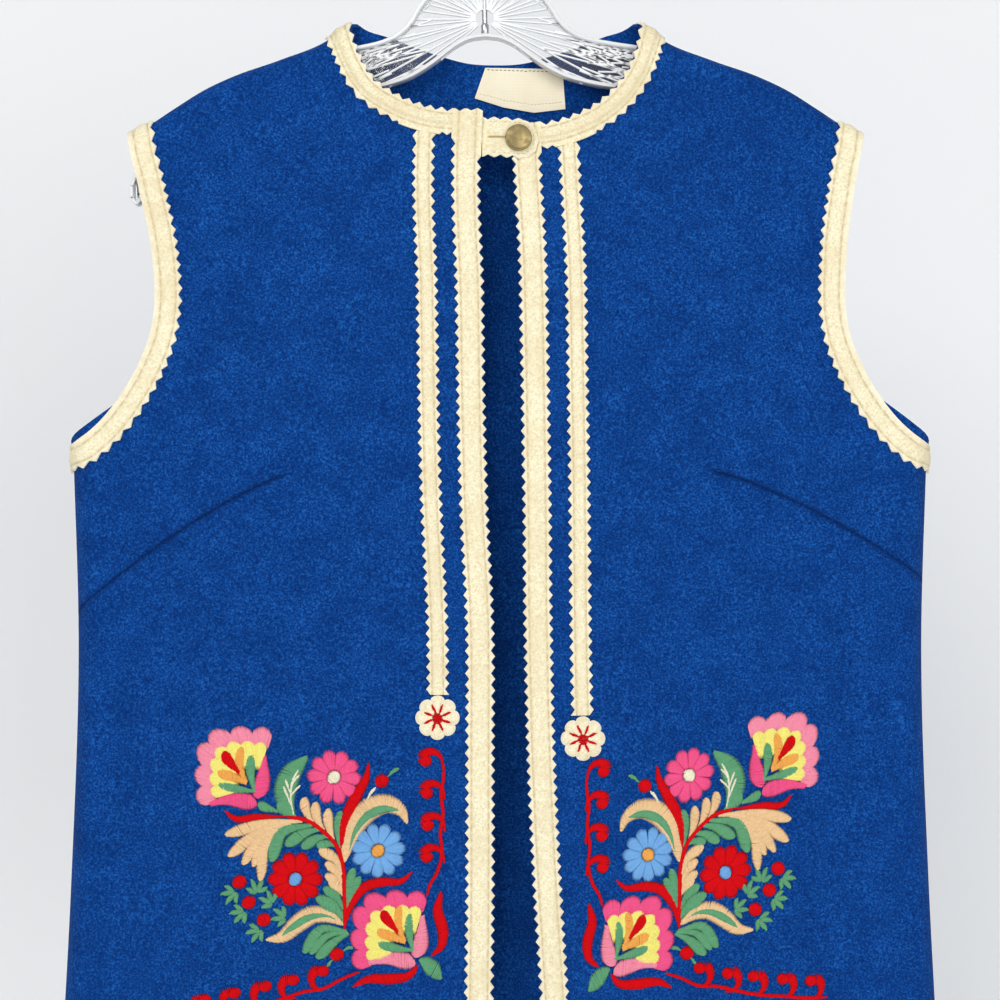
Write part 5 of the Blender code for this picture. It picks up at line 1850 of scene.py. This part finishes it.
# Petals of a tulip, the side ones first: yarn, width, lift, then the spine from its foot
PETALS = (
    (None, 9.4, 0.3, -5.2, 19.8, -5.0, 10.5, -2.6, -3.2),
    (None, 9.4, 0.3, 23.6, -6.0, 13, -3.8, -1.6, -5.6),
    (Yarn.GREEN, 6.0, 0.5, -0.4, 0.5, 1.6, 10, 1.8, 20.4),
    (Yarn.GREEN, 6.0, 0.5, -0.4, 0.8, 9, 2.2, 18.6, 4.2),
    (Yarn.ORANGE, 7.6, 0.55, 3.6, 5.2, 11, 8.6, 19.2, 10.6),
    (Yarn.ORANGE, 6.4, 0.55, 3.8, 5.4, 7.4, 14, 7.2, 24.6),
    (Yarn.RED, 7.0, 0.8, 7.4, 10.8, 11.4, 15.2, 16.8, 21.4))

# Round flowers: yarn, yarn of the middle, place, petals and turn
FLOWERS = (
    (Yarn.HOT_PINK, Yarn.WHITE, (6.2, 81.5), 10, 4),
    (Yarn.LIGHT_BLUE, Yarn.ORANGE, (-17.6, 42.2), 11, 10),
    (Yarn.RED, Yarn.LIGHT_BLUE, (27.0, 26.8), 10, 0))

# Scrolls: the stem, the line of a curl from its head to the stem, and the curls' heads
SCROLLS = (
    ((-44, 17.5, -45, 22.5, -50, 32, -52, 42.5, -51, 51, -52.5, 61, -51.5, 73.5, -52.8, 82,
      -52.6, 89),
     (0, 0, 1.9, 3.1, -0.6, 5.8, -4.6, 6.2, -8.2, 3.4, -9.4, -2.0),
     ((-43.1, 89.2), (-43.9, 72.1), (-44.2, 54.7), (-43.7, 37.7))),
    ((-8, -22.5, 1.5, -26.5, 12, -32, 22, -33.5, 32.5, -37, 46, -41, 60, -43.5, 75, -46.5,
      86, -48),
     (0, 0, 3.4, 1.5, 5.9, -1.2, 5.9, -5.6, 3.2, -8.6, -1.5, -8.4),
     ((12.0, -23.4), (28.2, -28.3), (43.0, -31.7), (59.6, -35.1), (75.6, -38.4))))

BERRIES = ((57.0, 25.5), (52.0, 14.5), (44.0, 5.0), (-19.5, 79.5), (4.5, -13.5))

# Sprigs of little leaves: place, and the way they point in degrees
SPRIGS = ((59.2, 20.7, -38), (47.3, 19.2, 82), (38.9, 13.6, 40), (54.4, 10.0, -34),
          (32.0, 6.4, 8), (46.0, 0.2, -42))
SPRIG_LEAVES = ((-58, 6.6), (-17, 8.4), (24, 8.0), (62, 6.2))


@dataclass
class CornerEmbroidery:
    """A spray of flowers and leaves with two scrolls, on the lower corner of one front."""

    side: Side
    foot: Pair
    spread: float
    tilt: float
    seed: int = 7
    scroll_width: float = 1.6
    curl_width: float = 5.4
    curl_head: float = 3.1
    leaf_width: float = 3.1
    berry: float = 3.7
    satin_turn: float = 60.0

    def placed(self, lines: Numbers) -> Numbers:
        """Turn the motif's own points to flat ones on this front."""
        u, v = lines[..., 0] * self.spread, lines[..., 1]
        return paired(self.foot[0] + self.side.value * u, self.foot[1] + v + self.tilt * u)

    def tulip(self, foot: Pair, lean: Pair, rim: Yarn, cup: Yarn) -> Iterable[Shape]:
        """A scalloped tulip that opens outward and up.

        Args:
            foot: Foot of the tulip.
            lean: How far the fans' foot lies from it.
            rim: Yarn of its outer band.
            cup: Yarn of its two side petals.

        Returns:
            Its shapes, the lowest first.
        """
        centre = (foot[0] + lean[0], foot[1] + lean[1])
        yield Fan(rim, centre, 21.4, 32.6, -21, 129, 6, 0.13, 0.07, 0.05, square=True)
        yield Fan(Yarn.YELLOW, centre, 9.0, 26.6, -16, 122, 7, 0.13, 0.09, 0.25, square=True)
        for yarn, width, lift, *pairs in PETALS:
            yield Blade(yarn or cup, Form.LOBE, width, spine(pairs, *foot), lift)

    def flowers(self) -> Iterable[Shape]:
        """Three round flowers with dotted middles."""
        for yarn, middle, place, petals, turn in FLOWERS:
            yield Fan(yarn, place, 3.0, 15.0, turn, 360, petals, 0.22, notch=0.16)
            yield Dot(middle, place, 3.5, 40 + turn, 0.5)

    def scrolls(self) -> Iterable[Shape]:
        """The two red scrolls and their curls."""
        for stem, _, _ in SCROLLS:
            yield Blade(Yarn.RED, Form.STEM, self.scroll_width, spine(stem))
        for _, curl, heads in SCROLLS:
            for u, v in heads:
                yield Blade(Yarn.RED, Form.COMMA, self.curl_width, spine(curl, u, v), 0.15)
                yield Dot(Yarn.RED, (u - 0.2, v + 1.0), self.curl_head, self.satin_turn, 0.3)

    def sprigs(self) -> Iterable[Shape]:
        """Sprigs of little leaves, and berries."""
        for u, v, way in SPRIGS:
            for turn, length in SPRIG_LEAVES:
                angle = math.radians(way + turn)
                ends = [(u + reach * math.cos(angle), v + reach * math.sin(angle))
                        for reach in (0.8, length)]
                yield Blade(Yarn.GREEN, Form.LEAF, self.leaf_width, ends)
        for place in BERRIES:
            yield Dot(Yarn.RED, place, self.berry, self.satin_turn, 0.1)

    def shapes(self) -> Iterable[Shape]:
        """Every shape of the corner, in the order in which it is stitched."""
        for yarn, form, *rows in SPRAY:
            for width, lift, *pairs in rows:
                yield Blade(yarn, form, width, spine(pairs), lift)
        for tulip in TULIPS:
            yield from self.tulip(*tulip)
        yield from self.flowers()
        yield from self.scrolls()
        yield from self.sprigs()

    def build(self) -> None:
        """Stitch the corner, with one piece for each yarn."""
        rng = np.random.default_rng(self.seed + self.side.value)
        yarns = {yarn: Threads(yarn) for yarn in Yarn}
        for shape in self.shapes():
            lines, heights, tones = shape.threads(rng)
            yarns[shape.yarn].batches.append((self.placed(lines), heights, tones))
        for yarn, threads in yarns.items():
            if threads.batches:
                threads.build(f"yarn_{yarn.word}_{self.side.word}")


# ------------------------------------------------------- rosettes, tab, button, label


def angles(count: int) -> Numbers:
    """Even angles once round."""
    return 2 * math.pi * np.arange(count) / count


@dataclass
class Rosette:
    """An eight-petalled felt flower with a stitched star."""

    side: Side
    trims: Trims
    radius: float = 12.0
    notch: float = 1.9
    petals: int = 8
    drop: float = 12.0
    fullness: float = 0.6
    thickness: float = 1.5
    puff: float = 1.15
    around: int = 96
    top_rings: tuple[float, ...] = (
        0.02, 0.1, 0.2, 0.34, 0.48, 0.62, 0.75, 0.86, 0.94, 0.985, 1.0)
    foot_rings: tuple[float, ...] = (0.985, 0.6, 0.02)
    star_yarn: float = 0.27
    star_reach: tuple[float, ...] = (1.2, 4.0, 7.6)
    star_rise: float = 0.6
    seed: int = 31
    sharp: float = 65.0

    def centre(self) -> Pair:
        """Flat place of the rosette's middle."""
        height = self.trims.strip_end(self.side) - CLOTH.gap - self.drop
        return float(self.trims.strip_centre(self.side, height)), height

    def petal(self, angle: Numbers, power: float) -> Numbers:
        """Tell, from 0 between petals to 1, how near the middle of one an angle is."""
        return np.abs(np.cos(self.petals / 2 * angle)) ** power

    def top(self, share: Numbers | float, angle: Numbers) -> Numbers:
        """Thickness of the felt at shares of the radius and at angles."""
        petal = self.petal(angle, 0.8)
        swell = np.sin(math.pi * np.clip(share, 0, 1) ** 1.25) ** 0.8
        edge = 1 - 0.42 * smooth_step((share - 0.86) / 0.14)
        groove = 0.45 * (1 - petal) * smooth_step(share / 0.3)
        return (self.thickness - groove) * edge + self.puff * swell * (0.25 + 0.75 * petal)

    def build(self) -> None:
        """Make the flower and its red star."""
        across, height = self.centre()
        angle = angles(self.around)
        edge = self.radius - self.notch * (1 - self.petal(angle, self.fullness))
        base = CLOTH.wall / 2 + CLOTH.gap
        rings = [(share, base + self.top(share, angle), smooth_step((share - 0.8) / 0.2))
                 for share in self.top_rings]
        rings += [(share, np.full(self.around, base), 0.0) for share in self.foot_rings]
        points = [CLOTH.points(Face.FRONT, across + share * edge * np.cos(angle),
                               height + share * edge * np.sin(angle), out)
                  for share, out, _ in rings]
        builder = MeshBuilder()
        builder.rings(np.stack(points)[None], np.array([mark for _, _, mark in rings])[:, None])
        word = self.side.word
        builder.build(f"felt_rosette_{word}", FELT, "cream_felt", f"rosette_{word}", self.sharp)
        self.star(across, height).build(f"yarn_star_{word}")

    def star(self, across: float, height: float) -> Threads:
        """Stitch eight red rays between the petals and a dot in the middle."""
        rng = np.random.default_rng(self.seed + self.side.value)
        threads = Threads(Yarn.RED, radius=self.star_yarn)
        ways = [2 * math.pi * (number + 0.5) / self.petals for number in range(self.petals)]
        shapes = [Blade(Yarn.RED, Form.TAIL, 1.5, [(math.cos(way) * reach, math.sin(way) * reach)
                                                  for reach in self.star_reach]) for way in ways]
        for shape in (*shapes, Dot(Yarn.RED, (0.0, -0.4), 2.9, lift=0.35)):
            lines, heights, tones = shape.threads(rng)
            share = np.linalg.norm(lines, axis=-1) / self.radius
            ground = self.top(share, np.arctan2(lines[..., 1], lines[..., 0]))
            heights = heights * self.star_rise + ground + CLOTH.gap
            threads.batches.append((lines + np.array([across, height]), heights, tones))
        return threads


@dataclass
class ClosingTab:
    """The rounded felt tab at the neck, with its buttonhole and stitched edge."""

    half_width: float = 11.0
    root_height: float = -154.6
    root_land: float = 1.0
    crossing: float = 12.0
    tooth: float = 1.6
    end_scallop: float = 0.5
    thickness: float = 1.3
    under_thickness: float = 1.5
    overhang: float = 1.2
    button_across: float = 12.3
    button_height: float = -156.4
    steps: int = 6
    parts: int = 4
    shares: tuple[float, ...] = (1, 0.94, 0.84, 0.775, 0.71, 0.55, 0.35, 0.17, 0.075, 0.04)
    slit: Pair = (-4.6, 13.6)
    slit_end: float = 1.5
    stitch_in: float = 2.5
    stitch_pitch: float = 2.6
    stitch_radius: float = 0.21
    seed: int = 5
    sharp: float = 65.0

    def root(self) -> float:
        """Distance across of the tab's root."""
        edge = float(EDGE_ACROSS[Side.LEFT](self.root_height + self.half_width))
        return edge - self.overhang + 2 * CLOTH.gap

    def length(self) -> float:
        """Length of the tab from its root to the button's middle."""
        return self.button_across - self.root()

    def level(self, across: Numbers) -> Numbers:
        """How far the tab's middle stands off the front's middle."""
        root = (CLOTH.wall - self.thickness) / 2
        top = CLOTH.wall / 2 + 2 * CLOTH.gap + self.under_thickness + self.thickness / 2
        crossing = np.clip((across - self.root() - self.root_land) / self.crossing, 0, 1)
        return root + (top - root) * smooth_step(crossing)

    def outline(self) -> Numbers:
        """Rows of offsets along the tab and across it, root to rounded end."""
        share = np.arange(self.steps * self.parts) / (self.steps * self.parts)
        wave = tooth_wave(share * self.steps)
        straight = paired(self.length() * share, self.half_width - self.tooth * wave**1.3)
        angle = math.pi / 2 * share
        radius = self.half_width - self.end_scallop * wave
        turn = paired(self.length() + radius * np.sin(angle), radius * np.cos(angle))
        return np.concatenate([straight, turn, [(self.length() + self.half_width, 0.6)]])

    def flat(self, along: Numbers, off: Numbers) -> tuple[Numbers, Numbers]:
        """Turn offsets along and across the tab to flat coordinates."""
        slope = (self.button_height - self.root_height) / self.length()
        return self.root() + along, self.root_height + slope * along + off

    def build(self) -> None:
        """Make the tab and its stitches."""
        rows = self.outline()
        shares = np.array([*self.shares, 0.0, *(-share for share in self.shares[::-1])])
        along = np.broadcast_to(rows[:, :1], (len(rows), len(shares)))
        off = rows[:, 1:] * shares
        across, height = self.flat(along, off)
        edge = np.minimum(rows[:, 1:] * (1 - np.abs(shares)), (rows[-1, 0] - along) * 0.9)
        trough = 0.35 * hump(edge - self.stitch_in, 0.7)
        round_edge = 0.38 * (1 - smooth_step(edge))
        inside = smooth_step((across - self.slit[0]) / self.slit_end)
        inside = inside * smooth_step((self.slit[1] - across) / self.slit_end)
        hole = hump(off, 0.42) * inside
        lips = 0.18 * hump(np.abs(off) - 1.1, 0.5) * inside
        puff = 0.12 * np.sin(across * 1.7) * np.sin(height * 1.3)
        top = self.thickness / 2 - trough - round_edge - 0.95 * hole + lips + puff * 0.4
        level = self.level(across)
        skins = [CLOTH.points(Face.FRONT, across, height, level + out)
                 for out in (top, -self.thickness / 2)]
        builder = MeshBuilder()
        # Near the edge the mark gives the paler cut felt; in the buttonhole slit it goes below zero
        # and paints shade.
        builder.shell(*skins, 1 - smooth_step(edge / 1.6) - 1.9 * hole)
        piece = builder.build("felt_tab", FELT, "cream_felt", "closing_tab", self.sharp)
        self.stitches()

    def stitches(self) -> bpy.types.Object:
        """Lay the row of stitches inside the tab's edge."""
        radius = self.half_width - self.stitch_in
        turn = np.linspace(0, math.pi, 60)
        along = np.linspace(3.5, self.length(), 20)[:-1]
        top = paired(along, np.full(len(along), radius))
        end = paired(self.length() + radius * np.sin(turn), radius * np.cos(turn))
        line = np.concatenate([top, end, top[::-1] * (1, -1)])
        total = lengths(line)[-1]
        rng = np.random.default_rng(self.seed)
        centres = np.arange(1.3, total - 1, self.stitch_pitch)
        knots = []
        for share in (-0.95, -0.45, 0.45, 0.95):
            spot = resample(line, np.clip((centres + share) / total, 0, 1))
            spot = spot + rng.normal(0, 0.07, spot.shape)
            across, height = self.flat(spot[:, 0], spot[:, 1])
            rise = self.level(across) + self.thickness / 2 - 0.35
            rise = rise + (0.2 if abs(share) < 0.9 else -0.1)
            middle, normal = CLOTH.lay(Face.FRONT, across, height)
            knots.append((middle + normal * rise[:, None], normal))
        builder = MeshBuilder()
        builder.stitches(knots, self.stitch_radius)
        return builder.build("stitches_tab", THREAD, "cream_felt")


@dataclass
class BrassButton:
    """The flat shank button, with a raised rim and turned rings."""

    tab: ClosingTab
    radius: float = 7.15
    thickness: float = 2.0
    dish: float = 0.45
    dish_radius: float = 6.1
    shank: Pair = (1.4, 0.5)
    around: int = 64
    sharp: float = 40.0

    def build(self) -> None:
        """Make the button."""
        foot = CLOTH.wall / 2 + 2 * CLOTH.gap + self.tab.under_thickness
        under = foot + self.tab.thickness + CLOTH.gap
        top = under + self.thickness
        profile = [(radius, top - self.dish * (1 - (radius / self.dish_radius) ** 2))
                   for radius in (0.05, 1.6, 3.2, 4.6, 5.6)]
        profile += [(6.15, top + 0.02), (6.35, top + 0.14), (6.6, top + 0.24), (6.9, top + 0.22),
                    (7.08, top + 0.05), (self.radius, top - 0.3), (self.radius, under + 0.6),
                    (7.0, under + 0.2), (6.6, under), (1.6, under), (1.5, under - 0.05)]
        angle = angles(self.around)
        ring = paired(np.cos(angle), np.sin(angle))
        square = ring / np.sum(np.abs(ring) ** 4, axis=1, keepdims=True) ** 0.25
        rings = [(ring * radius, out) for radius, out in profile]
        rings += [(square * self.shank, out) for out in (under - 0.3, foot + 0.1, foot)]
        middle, normal = CLOTH.lay(Face.FRONT, self.tab.button_across, self.tab.button_height)
        side = unit(np.cross(normal, np.array([0.0, 0.0, 1.0])))
        axes = np.stack([side, np.cross(side, normal)])
        points = [middle + ring @ axes + normal * out for ring, out in rings]
        builder = MeshBuilder()
        builder.rings(np.stack(points)[None])
        builder.build("brass_button", BRASS, "brass", "button", self.sharp)


@dataclass
class NeckLabel:
    """The bare cotton label inside the back neck."""

    cut: Pair = (0.0445, 0.0215)
    rows: int = 46
    places: int = 70
    hem: float = 0.16
    wall: float = CLOTH.wall / 2 + CLOTH.gap
    thickness: float = 0.45
    stitch_radius: float = 0.17
    sharp: float = 50.0

    def spot(self, share: Numbers, down: Numbers) -> tuple[Numbers, Numbers]:
        """Flat place at shares of the label's width and length."""
        top_across, top, low_across, low = (
            np.interp(share, LABEL_THIRD / LABEL_THIRD[-1], ends) for ends in LABEL_ENDS)
        return top_across + down * (low_across - top_across), top + down * (low - top)

    def relief(self, share: Numbers, down: Numbers) -> Numbers:
        """How far the label stands off the back's inside."""
        curl = 0.7 * down**2 * (0.6 + 0.4 * np.sin(5 * share + 0.5))
        wave = 0.16 * np.sin(8.2 * share + 2 * down) * down
        fold = 0.22 * smooth_step((down - 1 + self.hem) / 0.03)
        return curl + wave + fold - 0.16 * hump(down - 0.07, 0.035)

    def build(self) -> None:
        """Make the label and the threads that hold it."""
        share, down = np.meshgrid(np.linspace(0, 1, self.places), np.linspace(0, 1, self.rows))
        across, height = self.spot(share, down)
        relief = self.relief(share, down)
        skins = [CLOTH.points(Face.BACK, across, height, -(self.wall + out))
                 for out in (self.thickness + relief, 0.32 * relief)]
        edge = np.minimum(np.minimum(share, 1 - share), np.minimum(down, 1 - down) * 0.6)
        builder = MeshBuilder()
        builder.shell(*skins, 1 - smooth_step(edge / 0.03))
        piece = builder.build("cotton_label", COTTON, "label_cotton", "neck_label", self.sharp)
        rows = [self.stitches("label_top", 0.06, 18, DARK_THREAD),
                self.stitches("label_hem", 1 - self.hem - 0.02, 24, THREAD)]

    def stitches(self, name: str, down: float, count: int, finish: Finish) -> bpy.types.Object:
        """Lay a row of stitches across the label.

        Args:
            name: The row's name.
            down: Share of the label's length at which it runs.
            count: How many stitches it has.
            finish: The thread.

        Returns:
            The piece.
        """
        rng = np.random.default_rng(count)
        centre = np.linspace(0.05, 0.95, count)
        knots = []
        for part in (-1.0, -0.4, 0.4, 1.0):
            share = centre + part * 0.3 / count
            level = down + rng.normal(0, 0.006, count)
            rise = 0.5 + self.relief(share, level) + (0.12 if abs(part) < 1 else -0.12)
            middle, normal = CLOTH.lay(Face.BACK, *self.spot(share, level))
            knots.append((middle - normal * (self.wall + rise)[:, None], -normal))
        builder = MeshBuilder()
        builder.stitches(knots, self.stitch_radius)
        return builder.build(f"stitches_{name}", finish)


# --------------------------------------------------------------------------- hanger


@dataclass
class MouldedHanger:
    """The clear moulded hanger: rim, thin web, fan of ribs and crossed ribs on the arms."""

    tilt: float = math.radians(-0.9)
    depth: float = 9.4
    rim: float = 2.1
    web: float = 1.5
    web_rows: int = 9
    web_ends: int = 3
    web_in: float = 0.9
    rib_width: float = 0.50
    rib_rise: float = 0.45
    steps: int = 92
    hub: Pair = (0.0, -88.0)
    hub_reach: float = 5.0
    fan: Pair = (-42.0, 84.0)
    fan_ribs: int = 21
    fan_reach: float = 90.0
    streaks: Pair = (28.0, 178.0)
    streak_length: Pair = (18.0, 46.0)
    streak_end: float = 191.0
    arm_ribs: int = 104
    rib_points: int = 5
    rib_in: float = 0.8
    rib_end: float = 193.0
    seed: int = 12
    sharp: float = 40.0

    upper = Glide(ARM_ACROSS, ARM_TOP)
    lower = Glide(ARM_ACROSS, ARM_BOTTOM)

    def stood(self, x: Numbers | float, z: Numbers, y: Numbers | float = 0.0) -> Numbers:
        """Stand upright points in the air, turned by the hanger's tilt."""
        turn_cos, turn_sin = math.cos(self.tilt), math.sin(self.tilt)
        turned = (x * turn_cos + z * turn_sin, y, z * turn_cos - x * turn_sin)
        return np.stack(np.broadcast_arrays(*turned), axis=-1)

    def across(self) -> Numbers:
        """Distances across, tip to tip."""
        half = ARM_ACROSS[-1] * np.sin(np.linspace(0, math.pi / 2, self.steps))
        return np.concatenate([-half[:0:-1], half])

    def build(self) -> None:
        """Make the rim, the web and the ribs."""
        self.outer_rim()
        across = self.across()[self.web_ends:-self.web_ends]
        top = self.upper(np.abs(across)) - self.web_in
        bottom = self.lower(np.abs(across)) + self.web_in
        z = top[:, None] + (bottom - top)[:, None] * np.linspace(0, 1, self.web_rows)
        builder = MeshBuilder()
        builder.shell(*(self.stood(across[:, None], z, y) for y in (-self.web / 2, self.web / 2)))
        builder.build("plastic_web", CLEAR, "clear_plastic", "hanger_body", self.sharp)
        self.ribs()

    def outer_rim(self) -> None:
        """Make the rim, a rounded section carried once round the hanger."""
        across = self.across()
        line = np.concatenate([paired(across, self.upper(np.abs(across))),
                               paired(across, self.lower(np.abs(across)))[::-1]])
        tangent = unit(np.roll(line, -1, axis=0) - np.roll(line, 1, axis=0))
        inward = paired(tangent[:, 1], -tangent[:, 0])
        half = self.depth / 2
        side = [(0.0, half - 0.8), (0.25, half - 0.2), (0.8, half), (self.rim - 0.5, half),
                (self.rim, half - 0.5)]
        section = side + [(inset, -y) for inset, y in side[::-1]]
        points = np.stack([self.stood(*(line + inward * inset).T, y) for inset, y in section],
                          axis=1)
        builder = MeshBuilder()
        faces = builder.grid_faces(len(points) + 1, len(section), wrap=True)
        builder.add(points, faces % (len(points) * len(section)))
        builder.build("plastic_rim", MILKY, "clear_plastic", sharp=self.sharp)

    def rib_lines(self) -> Iterable[Numbers]:
        """Ribs in the right half: a fan at the hub, then streaks that flow along the arm."""
        hub = np.array(self.hub)
        rng = np.random.default_rng(self.seed)
        along = np.linspace(0, 1, self.rib_points)
        for degrees in np.linspace(*self.fan, self.fan_ribs):
            turn = math.radians(degrees + rng.normal(0, 1.2))
            way = np.array([math.cos(turn), math.sin(turn)])
            reach = self.reach_along(hub, way)
            yield hub + way * (self.hub_reach + along * (reach - self.hub_reach))[:, None]
        for start in np.linspace(*self.streaks, self.arm_ribs):
            across = start + along * rng.uniform(*self.streak_length)
            across = np.minimum(across, self.streak_end)
            low, high = self.lower(across) + self.rib_in, self.upper(across) - self.rib_in
            first = rng.uniform(0.05, 0.95)
            last = first + rng.choice((-1, 1)) * rng.uniform(0.15, 0.5)
            begin = low[0] + first * (high - low)[0]
            end = low[-1] + last * (high - low)[-1]
            yield paired(across, np.clip(begin + along * (end - begin), low, high))

    def reach_along(self, start: Numbers, way: Numbers) -> float:
        """How far a line inside the right half runs before it meets the outline."""
        for reach in np.arange(0.5, self.fan_reach, 0.5):
            x, z = start + way * reach
            inside = self.lower(x) - 0.2 <= z <= self.upper(x) - self.rib_in
            if not (0 <= x <= self.rib_end and inside):
                return float(reach)
        return self.fan_reach

    def ribs(self) -> None:
        """Lay every rib on both faces of the web, left and right."""
        lines, ups = [], []
        for line in self.rib_lines():
            for mirror in (-1, 1):
                for face in (-1.0, 1.0):
                    lines.append(self.stood(mirror * line[:, 0], line[:, 1], face * self.web / 2))
                    ups.append([[0.0, face, 0.0]] * len(line))
        builder = MeshBuilder()
        builder.tubes(np.array(lines), np.array(ups), self.rib_width, self.rib_rise, sides=6)
        builder.build("plastic_ribs", FROSTED, "clear_plastic", sharp=self.sharp)


@dataclass
class WireHook:
    """The round wire hook, its stem and the collar where it enters the hanger."""

    hanger: MouldedHanger
    wire: float = 1.8
    inner: float = 20.0
    tip: tuple[float, ...] = (0.35, 0.8, 0.97)
    tip_angle: float = 205.0
    neck_angle: float = -50.0
    stem_top: float = -60.0
    stem_bottom: float = -97.8
    pull: float = 9.0
    stem_wire: float = 1.45
    stem_start: float = -62.0
    collar: Pair = (-91.0, -97.4)
    collar_sizes: tuple[float, ...] = (1.5, 1.95, 2.15, 2.15, 1.9)
    arc_points: int = 81
    bend_points: int = 17
    stem_points: int = 15
    sides: int = 20
    sharp: float = 50.0

    def route(self) -> Numbers:
        """Centre line of the wire, from its tip over the top and down the stem."""
        radius = self.inner + self.wire
        turn = np.radians(np.linspace(self.tip_angle, self.neck_angle, self.arc_points))
        arc = paired(radius * np.cos(turn), -self.inner + radius * np.sin(turn))
        heading = np.array([math.sin(turn[-1]), -math.cos(turn[-1])])
        stem = np.array([0.0, self.stem_top])
        first, second = arc[-1] + self.pull * heading, stem + (0.0, self.pull)
        t = np.linspace(0, 1, self.bend_points)[1:, None]
        bend = (1 - t) ** 3 * arc[-1] + 3 * t * (1 - t) ** 2 * first
        bend = bend + 3 * t * t * (1 - t) * second + t**3 * stem
        heights = np.linspace(self.stem_top, self.stem_bottom, self.stem_points)[1:]
        down = paired(np.zeros(len(heights)), heights)
        return np.concatenate([arc, bend, down])

    def build(self) -> None:
        """Make the wire with its rounded tip and the collar."""
        route = self.route()
        width = np.full(len(route), self.wire)
        width[:len(self.tip)] = self.wire * np.array(self.tip)
        width = np.where(route[:, 1] < self.stem_start, self.stem_wire, width)
        high, low = self.collar
        heights = np.array([high + 0.6, high, high - 0.4, low + 0.4, low])
        builder, up = MeshBuilder(), np.array([0.0, -1.0, 0.0])
        for x, z, size in ((route[:, 0], route[:, 1], width),
                           (0.0, heights, np.array(self.collar_sizes))):
            line = self.hanger.stood(x, z)
            builder.tubes(line[None], up, size[None], size[None], sides=self.sides)
        builder.build("steel_hook", STEEL, "steel", "hanger_hook", self.sharp)


# ---------------------------------------------------------------------------- stage


@dataclass
class Stage:
    """Pale floor and wall, soft lights and the camera."""

    floor_height: float = -1.0
    wall_place: float = 0.62
    wall_height: float = 2.0
    spread: float = 3.0
    aim: tuple[float, float, float] = (0.01, 0.0, -0.33)
    lights: tuple = (("key", (-1.3, -3.9, 1.5), 2.2, 87.0, (1.0, 0.985, 0.965)),
                     ("fill", (1.9, -3.4, 0.0), 2.6, 47.0, (0.97, 0.985, 1.0)),
                     ("low_fill", (-0.4, -3.2, -1.4), 2.0, 19.0, (1.0, 1.0, 1.0)))
    room: Colour = (0.93, 0.96, 1.0)
    room_light: float = 0.42
    camera: tuple[float, float, float] = (0.00972, -1.165, -0.351)
    sensor: float = 36.0
    frame_width: float = 0.54
    frame_plane: float = -0.015

    def put(self, name: str, data: bpy.types.ID) -> bpy.types.Object:
        """Place a mesh, a lamp or a camera in the scene."""
        item = bpy.data.objects.new(name, data)
        bpy.context.scene.collection.objects.link(item)
        return item

    def panel(self, name: str, corners: Sequence[Sequence[float]]) -> None:
        """Make one flat part of the stage."""
        mesh = bpy.data.meshes.new(name)
        mesh.from_pydata(corners, [], [range(len(corners))])
        mesh.materials.append(StageFinish().material())
        self.put(name, mesh)

    def light(self, name: str, place: Sequence[float], size: float, power: float,
              colour: Colour) -> None:
        """Add a soft square light that looks at the vest.

        Args:
            name: The light's name.
            place: Where it stands, in metres.
            size: Its width in metres.
            power: Its power in watts.
            colour: Its colour.
        """
        data = bpy.data.lights.new(name, "AREA")
        data.size = size
        data.energy = power
        data.color = colour
        lamp = self.put(name, data)
        lamp.location = place
        way = Vector(self.aim) - Vector(place)
        lamp.rotation_euler = way.to_track_quat("-Z", "Y").to_euler()

    def build(self) -> None:
        """Set the stage, the lights and the camera."""
        scene = bpy.context.scene
        turns = ((-1, -1), (1, -1), (1, 1), (-1, 1))
        reach, back = self.spread, self.wall_place
        heights = {-1: self.floor_height, 1: self.wall_height}
        self.panel("floor", [(x * reach, y * reach, self.floor_height) for x, y in turns])
        self.panel("backdrop", [(x * reach, back, heights[up]) for x, up in turns])
        for light in self.lights:
            self.light(*light)
        world = bpy.data.worlds.new("soft_room")
        world.use_nodes = True
        background = world.node_tree.nodes["Background"]
        background.inputs["Color"].default_value = (*self.room, 1.0)
        background.inputs["Strength"].default_value = self.room_light
        scene.world = world
        scene.view_settings.view_transform = "Standard"
        data = bpy.data.cameras.new("camera")
        data.sensor_width = self.sensor
        data.lens = self.sensor * (self.frame_plane - self.camera[1]) / self.frame_width
        scene.camera = self.put("camera", data)
        scene.camera.location = self.camera
        scene.camera.rotation_euler = (math.pi / 2, 0.0, 0.0)


def main() -> None:
    """Build every piece, then the stage."""
    logging.basicConfig(level=logging.INFO, format="%(name)s: %(message)s")
    WoolPanels().build()
    trims = Trims()
    trims.build()
    for side in Side:
        Rosette(side, trims).build()
    CornerEmbroidery(Side.LEFT, (-83.2, -582.0), 1.0, 0.0).build()
    CornerEmbroidery(Side.RIGHT, (96.2, -582.0), 0.936, 0.139, 19).build()
    tab = ClosingTab()
    tab.build()
    BrassButton(tab).build()
    NeckLabel().build()
    hanger = MouldedHanger()
    hanger.build()
    WireHook(hanger).build()
    Stage().build()


if __name__ == "__main__":
    main()
